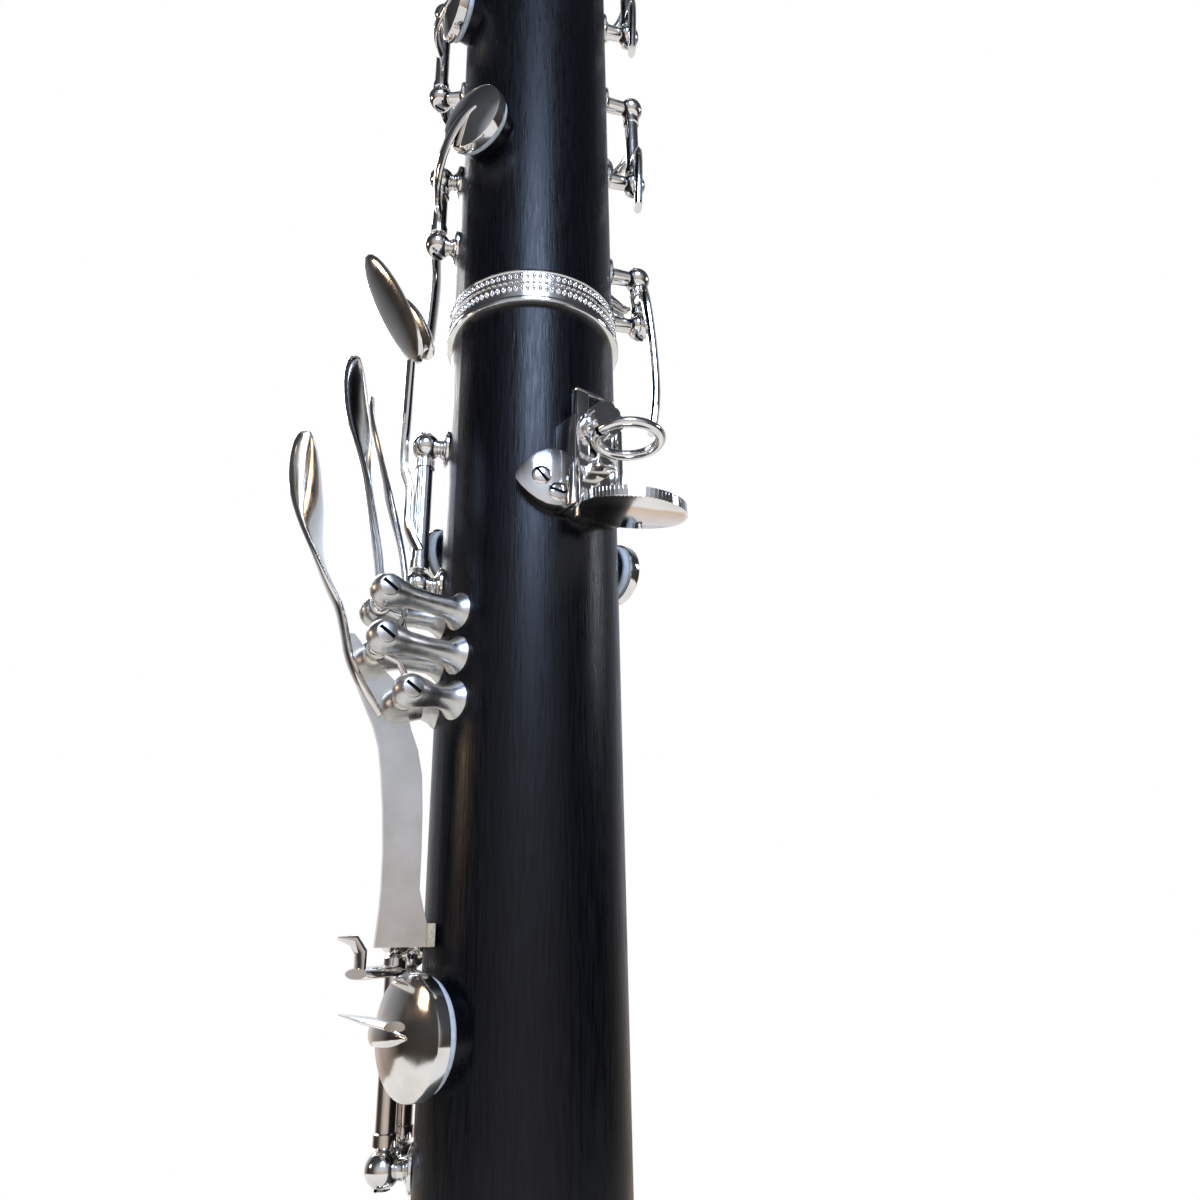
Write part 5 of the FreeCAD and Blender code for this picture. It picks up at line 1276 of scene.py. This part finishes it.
    def _bar_and_hook(self) -> None:
        """Frame the bar's slot, stand the ring's lug on it and draw out the knurled hook plate."""
        piece = Piece("thumb_rest_bar")
        near, far, half = self.bar_y, self.bar_y + self.bar_t, self.bar_half
        for side in (-1.0, 1.0):
            left, right = sorted((side * self.slot_half, side * half))
            self._block(piece, (left, near, self.slot_low), (right, far, self.slot_top))
        self._block(piece, (-half, near, self.hook_low - 0.6), (half, far, self.slot_low))
        self._block(piece, (-half, near, self.slot_top), (half, far, self.bar_top))
        self._block(piece, (-2.0, far - 0.4, self.ring_z - 3.4), (2.0, 26.6, self.ring_z - 1.05))
        self._block(piece, (-1.6, 24.8, self.ring_z - 3.0), (1.6, 26.3, self.ring_z + 0.4))
        slope = Vector((0.0, 1.0, self.hook_slope))
        rings = [Ring(Vector((0.0, y, RING_Z + self._hook_height(y))), slope, LEFT, wide, 1.0)
                 for y, wide in self.hook_outline]
        piece.loft(rings, square=True)
        piece.finish(SILVER, "thumb_rest", Slot.SILVER, ["thumb_rest"], bevel_mm=0.25)
        knurl = Piece("thumb_rest_hook_knurl")
        for index in range(self.knurls):
            angle = math.radians(self.knurl_span * (index / (self.knurls - 1) - 0.5))
            across = Vector((math.sin(angle), math.cos(angle), 0.0))
            foot = BACK * self.hook_y + across * (self.hook_r - 0.25)
            foot.z = RING_Z + self._hook_height(foot.y)
            knurl.block(foot, UP, across, (0.34, 0.3), (-0.95, 0.95))
        knurl.finish(SILVER, "thumb_rest", Slot.SILVER)

    def _hook_height(self, y: float) -> float:
        """Give the height of the hook plate's middle at a distance from the body's axis."""
        return self.hook_low + max(y - self.hook_from, 0.0) * self.hook_slope

    def _strap_ring(self) -> None:
        """Bend the ring from round wire, all but the last of its steps, which stays open."""
        piece = Piece("strap_ring_wire")
        centre = Vector((0.0, self.ring_y, RING_Z + self.ring_z))
        steps = 48
        rings = []
        for index in range(steps):
            out = polar(1.0, 360.0 * index / steps, 0.0)
            rings.append(Ring(centre + out * self.ring_r, UP.cross(out), out, self.wire_r, self.wire_r))
        piece.loft(rings, 16, capped=False)
        piece.finish(SILVER, "thumb_rest", Slot.SILVER, ["strap_ring"])


# ---------------------------------------------------------------- studio


@dataclass(frozen=True)
class Lamp:
    """A square area lamp that looks at the middle ring.

    Attributes:
        name: Its name.
        azimuth: Azimuth at which it stands.
        elevation: Its angle over the ring.
        reach: Its distance from the ring, in metres.
        span: Length of its side, in metres.
        power: Its power in watts.
        tone: Its colour.
    """

    name: str
    azimuth: float
    elevation: float
    reach: float
    span: float
    power: float
    tone: str

    def build(self) -> None:
        """Place the lamp and turn it to the ring."""
        rise = math.radians(self.elevation)
        away = polar(math.cos(rise), self.azimuth, math.sin(rise))
        place = Vector((0.0, 0.0, RING_Z * MM)) + away * self.reach
        bpy.ops.object.light_add(type="AREA", location=place)
        lamp = bpy.context.object
        lamp.name = self.name
        lamp.data.size = self.span
        lamp.data.energy = self.power
        lamp.data.color = colour(self.tone)[:3]
        lamp.rotation_euler = away.to_track_quat("Z", "Y").to_euler()


@dataclass(frozen=True)
class Camera:
    """The close camera, which looks up at the middle of the body from the player's left.

    Its place is in metres, drop under the middle ring's end, and its turn is about X, Y and Z.
    """

    x: float = 0.0934
    y: float = 0.1438
    drop: float = 0.12302
    turn: tuple[float, float, float] = (110.556, 0.939, 142.602)
    lens: float = 27.0
    sensor: float = 36.0
    clip: float = 0.01

    def build(self) -> None:
        """Place the camera and make it the scene's."""
        bpy.ops.object.camera_add(location=(self.x, self.y, RING_Z * MM - self.drop))
        camera = bpy.context.object
        camera.name = "camera"
        camera.data.sensor_width = self.sensor
        camera.data.lens = self.lens
        camera.data.clip_start = self.clip
        camera.rotation_euler = [math.radians(angle) for angle in self.turn]
        bpy.context.scene.camera = camera


LAMPS = (
    Lamp("window_lamp", 60.0, 34.0, 1.5, 0.6, 17.0, "#bfd5ff"),
    Lamp("left_lamp", 150.0, 20.0, 1.7, 0.3, 3.0, "#eef2ff"),
    Lamp("right_lamp", -28.0, 10.0, 1.7, 0.3, 3.5, "#ffd9b4"),
    Lamp("front_lamp", -90.0, 35.0, 1.8, 0.9, 16.0, "#ffffff"),
)


def build_studio() -> None:
    """Make the floor, the world, the lamps and the camera."""
    bpy.context.scene.view_settings.view_transform = "Standard"
    bpy.ops.object.select_all(action="DESELECT")
    floor_r, floor_drop = 2.1, 0.0005
    bpy.ops.mesh.primitive_circle_add(vertices=96, radius=floor_r, fill_type="NGON",
                                      location=(0.0, 0.0, -floor_drop))
    floor = bpy.context.object
    floor.name = "studio_floor"
    floor.data.materials.append(floor_material())
    build_world()
    for lamp in LAMPS:
        lamp.build()
    Camera().build()


def floor_material() -> bpy.types.Material:
    """Give the pale floor, which keeps a shadow near its middle and fades to white outwards.

    Returns:
        The material.
    """
    material = bpy.data.materials.new("pale_studio_floor")
    material.use_nodes = True
    tree = material.node_tree
    tree.nodes.clear()
    place = add_node(tree, "ShaderNodeTexCoord", {}, {})
    reach = add_node(tree, "ShaderNodeVectorMath", {"operation": "LENGTH"}, {0: (place, "Object")})
    fade = add_node(tree, "ShaderNodeMapRange", {"in:1": 0.3, "in:2": 1.9, "in:3": 0.55, "in:4": 1.0},
                    {"Value": (reach, "Value")})
    path = add_node(tree, "ShaderNodeLightPath", {}, {})
    seen = add_node(tree, "ShaderNodeMath", {"operation": "MAXIMUM"},
                    {0: (path, "Is Camera Ray"), 1: (path, "Is Glossy Ray")})
    clear = add_node(tree, "ShaderNodeMath", {"operation": "MAXIMUM"},
                     {0: (seen, "Value"), 1: (path, "Is Transmission Ray")})
    share = add_node(tree, "ShaderNodeMath", {"operation": "MULTIPLY"},
                     {0: (fade, "Result"), 1: (clear, "Value")})
    matt = add_node(tree, "ShaderNodeBsdfPrincipled",
                    {"in:Base Color": colour("#f4f3f0"), "in:Roughness": 0.9}, {})
    white = add_node(tree, "ShaderNodeEmission", {"in:Color": colour("#ffffff"), "in:Strength": 1.0}, {})
    mixed = add_node(tree, "ShaderNodeMixShader", {},
                     {0: (share, "Value"), 1: (matt, "BSDF"), 2: (white, "Emission")})
    add_node(tree, "ShaderNodeOutputMaterial", {}, {"Surface": (mixed, "Shader")})
    return material


def build_world() -> None:
    """Make the white world.

    Camera rays see plain white. Glossy and transmission rays see that white only in the direction
    behind the object, at behind_az, and elsewhere a dimmer room, which gives polished metal its
    contrast: a pale window side opposite, dark sides and a warm lower half. Diffuse rays get a
    weak, even fill.
    """
    behind_az = 237.0
    stops = ((0.0, 0.85), (0.08, 0.60), (0.22, 0.09), (0.60, 0.04), (0.80, 0.42), (0.95, 1.0))
    fill = 0.3
    world = bpy.data.worlds.new("soft_studio")
    bpy.context.scene.world = world
    world.use_nodes = True
    tree = world.node_tree
    tree.nodes.clear()
    path = add_node(tree, "ShaderNodeLightPath", {}, {})
    place = add_node(tree, "ShaderNodeTexCoord", {}, {})
    toward = add_node(tree, "ShaderNodeVectorMath", {"operation": "DOT_PRODUCT"},
                      {0: (place, "Generated")})
    toward.inputs[1].default_value = polar(1.0, behind_az, 0.0)
    spread = add_node(tree, "ShaderNodeMapRange", {"in:1": -1.0, "in:2": 1.0}, {"Value": (toward, "Value")})
    room = add_node(tree, "ShaderNodeValToRGB", {}, {"Fac": (spread, "Result")})
    ramp = room.color_ramp
    while len(ramp.elements) < len(stops):
        ramp.elements.new(0.5)
    for element, (position, level) in zip(ramp.elements, stops):
        element.position = position
        element.color = (level, level, level, 1.0)
    parts = add_node(tree, "ShaderNodeSeparateXYZ", {}, {"Vector": (place, "Generated")})
    rise = add_node(tree, "ShaderNodeMapRange", {"in:1": -0.5, "in:2": 0.25}, {"Value": (parts, "Z")})
    warmth = add_node(tree, "ShaderNodeMix",
                      {"data_type": "RGBA", "in:6": colour("#e0b98a"), "in:7": colour("#e9f1ff")},
                      {"Factor": (rise, "Result")})
    reflected = add_node(tree, "ShaderNodeMix",
                         {"data_type": "RGBA", "blend_type": "MULTIPLY", "in:0": 1.0},
                         {6: (room, "Color"), 7: (warmth, 2)})
    shiny = add_node(tree, "ShaderNodeMath", {"operation": "MAXIMUM"},
                     {0: (path, "Is Glossy Ray"), 1: (path, "Is Transmission Ray")})
    lit = add_node(tree, "ShaderNodeMix", {"data_type": "RGBA", "in:6": (fill, fill, fill, 1.0)},
                   {"Factor": (shiny, "Value"), 7: (reflected, 2)})
    seen = add_node(tree, "ShaderNodeMix", {"data_type": "RGBA", "in:7": colour("#ffffff")},
                    {"Factor": (path, "Is Camera Ray"), 6: (lit, 2)})
    back = add_node(tree, "ShaderNodeBackground", {"in:Strength": 1.0}, {"Color": (seen, 2)})
    add_node(tree, "ShaderNodeOutputWorld", {}, {"Surface": (back, "Background")})


def oval(radius: float, azimuth: float, height: float, half_len: float, half_w: float,
         lean: float = 0.0) -> tuple[float, float, float, float, float, float]:
    """Give the sizes of an oval touch."""
    return (radius, azimuth, height, half_len, half_w, lean)


def finger_key(name: str, cup_az: float, cup_z: float, pad_r: float) -> Key:
    """Give an open key with a round plate for the finger, on a tube that its cup is in the middle of.

    Args:
        name: Its name.
        cup_az: Azimuth of its cup.
        cup_z: Height of its cup.
        pad_r: Radius of its pad.

    Returns:
        The key.
    """
    half = 13.0
    return Key(name, -125.0, OFF_FAR, cup_z - half, cup_z + half, cup_az, cup_z, pad_r, 9.0, plate=True)


def side_key(name: str, cup_z: float) -> Key:
    """Give a closed key at the player's right side, with a touch that reaches down from its tube.

    Args:
        name: Its name.
        cup_z: Height of its cup.

    Returns:
        The key.
    """
    half = 9.8
    strip = ((25.8, 160.0, cup_z - 7.0), (25.8, 147.0, cup_z - 9.0), (25.2, 146.0, cup_z - 26.0))
    return Key(name, 160.0, 7.8, cup_z - half, cup_z + half, 193.0, cup_z, 5.5, 0.0, (Touch(strip),))


# Distance of a hinge from the body's surface, on tall posts and on short ones, and the radius there.
OFF_FAR = 6.5
OFF_NEAR = 4.4
R_OUT = BODY_R + OFF_FAR
R_NEAR = BODY_R + OFF_NEAR

UPPER_KEYS = (
    finger_key("left_index_key", -92.0, 205.0, 7.0),
    finger_key("left_middle_key", -92.0, 150.0, 7.5),
    finger_key("left_ring_key", -92.0, 95.0, 8.0),
    Key("thumb_key", 118.0, OFF_FAR, 178.0, 202.0, 90.0, 190.0, 7.0, 9.0,
        (Touch(leaf=oval(25.4, 90.0, 186.0, 12.0, 6.0)),)),
    Key("throat_a_key", -58.0, OFF_FAR, 262.0, 300.0, -26.0, 290.0, 5.0, 0.0,
        (Touch(((R_OUT, -58.0, 266.0), (R_OUT + 1.0, -68.0, 264.0), (R_OUT + 1.0, -80.0, 262.0)),
               oval(R_OUT + 1.0, -84.0, 262.0, 9.0, 4.2)),)),
    Key("throat_g_key", -122.0, OFF_FAR, 240.0, 282.0, -156.0, 272.0, 5.5, 0.0,
        (Touch(((R_OUT, -122.0, 246.0), (R_OUT + 1.0, -112.0, 244.0), (R_OUT + 1.0, -101.0, 242.0)),
               oval(R_OUT + 1.0, -97.0, 241.0, 9.0, 4.2)),)),
    Key("fork_key", -38.0, OFF_FAR, 82.0, 106.0, -6.0, 94.0, 6.0, 0.0,
        (Touch(((R_OUT, -38.0, 84.5), (R_OUT + 2.0, -46.0, 84.2), (R_OUT + 2.0, -54.0, 85.0)),
               oval(R_OUT + 2.2, -58.0, 88.0, 7.0, 3.6)),)),
    Key("c_sharp_key", -25.0, OFF_NEAR, 30.3, 43.7, 20.0, 50.0, 7.4, 0.0,
        (Touch(((R_NEAR, -25.0, 34.0), (R_NEAR + 1.2, -41.0, 31.0), (R_NEAR + 0.8, -41.0, 20.0),
                (R_NEAR + 1.6, -40.0, 2.0)), oval(R_NEAR + 5.4, -38.0, 8.6, 9.4, 4.8, 34.0), -40.0),),
        leave_z=37.0),
    Key("side_low_key", 160.0, 7.8, 16.4, 24.0, 193.0, 34.0, 4.0, 0.0,
        (Touch(((25.8, 160.0, 20.6), (25.8, 146.0, 18.0), (27.0, 144.0, 5.0), (27.4, 143.0, -10.0),
                (26.2, 143.0, -20.0))),), leave_z=19.0),
    side_key("side_mid_key", 70.0),
    side_key("side_high_key", 123.0),
)
LOWER_KEYS = (
    finger_key("right_index_key", -95.0, -35.0, 7.8),
    finger_key("right_middle_key", -95.0, -71.0, 7.8),
    finger_key("right_ring_key", -95.0, -107.0, 7.8),
    Key("sliver_key", 208.0, OFF_FAR, -60.0, -36.0, 180.0, -48.0, 6.0, 0.0,
        (Touch(((R_OUT, 208.0, -40.0), (R_OUT + 1.0, 218.0, -40.0))),)),
    Key("left_d_key", -25.0, OFF_NEAR, -54.0, -29.0, -62.0, -45.0, 5.5, 0.0,
        (Touch(((R_NEAR, -25.0, -50.0), (R_NEAR + 2.6, -25.0, -44.0), (R_NEAR + 2.9, -25.0, -36.0),
                (R_NEAR + 4.4, -25.0, -30.0), (R_NEAR + 4.4, -22.0, -20.0), (R_NEAR + 4.6, -16.5, -8.0)),
               oval(R_NEAR + 9.2, -14.0, 3.6, 13.4, 5.6, 30.0), -12.0),)),
    VentKey("vent_key", -36.0, 4.9, -154.8, -125.6, 6.0, -137.0, 8.6, 0.0),
    Key("f_key", -54.0, OFF_NEAR, -154.8, -128.0, -92.0, -140.0, 9.2, 8.0,
        (Touch(((R_NEAR, -54.0, -151.5), (R_NEAR + 4.6, -64.0, -152.5), (R_NEAR + 5.8, -70.0, -154.0)),
               oval(R_NEAR + 6.0, -72.0, -154.0, 8.0, 5.0)),)),
    Key("a_flat_key", -60.0, OFF_FAR, -246.0, -206.0, -97.0, -216.0, 9.0, 0.0,
        (Touch(((R_OUT, -60.0, -210.0), (R_OUT + 4.0, -52.0, -208.0)),
               oval(R_OUT + 4.6, -47.0, -203.0, 8.0, 4.0)),)),
    Key("low_e_key", -125.0, OFF_FAR, -284.0, -242.0, -92.0, -264.0, 11.5, 7.0,
        (Touch(((R_OUT, -125.0, -245.0), (R_OUT + 6.0, -112.0, -243.0), (R_OUT + 6.0, -110.0, -214.0),
                (R_OUT + 6.2, -107.0, -186.0)), oval(R_OUT + 6.6, -101.0, -180.0, 9.0, 5.4)),)),
    Key("low_e_flat_key", -36.0, OFF_FAR, -346.0, -172.0, -88.0, -328.0, 12.0, 7.0,
        (Touch(((R_OUT, -36.0, -178.0), (R_OUT + 3.4, -50.0, -178.0)),
               oval(R_OUT + 4.4, -58.0, -180.0, 8.5, 5.0)),)),
)
LEVERS = (
    PlateLever("lever_a", (25.2, -82.7), ((46.2, -32.5), (46.0, -38.0), (45.3, -45.0), (43.6, -53.0),
                                         (40.6, -61.0), (37.7, -66.5), (36.3, -71.0), (35.0, -76.0),
                                         (32.4, -81.0), (29.0, -86.0)),
               -32.3, -45.0, -91.0, 5.6, 1.9, 5.0, 2.8, 7.2, twist=38.0),
    Lever("lever_b", (30.6, -65.8), ((38.8, -15.5), (38.4, -22.0), (37.2, -30.0), (35.2, -40.0),
                                     (33.2, -50.0), (31.6, -58.0), (30.6, -65.8)),
          -15.3, -28.0, -67.0, 5.4, 1.9, 7.6, 5.4, 9.8, twist=36.0,
          tail=((29.6, -66.5), (26.6, -67.6), (25.4, -71.6)), tail_y=5.8),
    Lever("lever_c", (30.6, -74.3), ((34.2, -17.0), (33.7, -24.0), (31.6, -33.0), (29.3, -44.0),
                                     (27.5, -54.0), (26.5, -62.0), (26.5, -68.0), (28.3, -72.0),
                                     (30.6, -74.3)),
          -16.8, -28.0, -75.0, 5.0, 0.65, 7.6, 5.4, 9.8, slant=10.9, twist=4.0,
          tail=((29.6, -75.0), (26.6, -76.2), (25.2, -79.0)), tail_y=6.6),
)


def main() -> None:
    """Build every piece in order."""
    logging.basicConfig(level=logging.INFO, format="%(message)s")
    dress_carried_nodes()
    BodyRing("joint_ring", "body", True).build()
    BodyRing("top_ring", "body", False).build()
    BodyRing("bell_ring", "bell", False).build()
    for key in UPPER_KEYS + LOWER_KEYS:
        key.build()
    PostSet("upper_posts_turned", "posts_upper", UPPER_KEYS).build()
    PostSet("lower_posts_turned", "posts_lower", LOWER_KEYS).build()
    for lever in LEVERS:
        lever.build()
    LeverPosts(LEVERS).build()
    ThumbRest().build()
    build_studio()


if __name__ == "__main__":
    main()
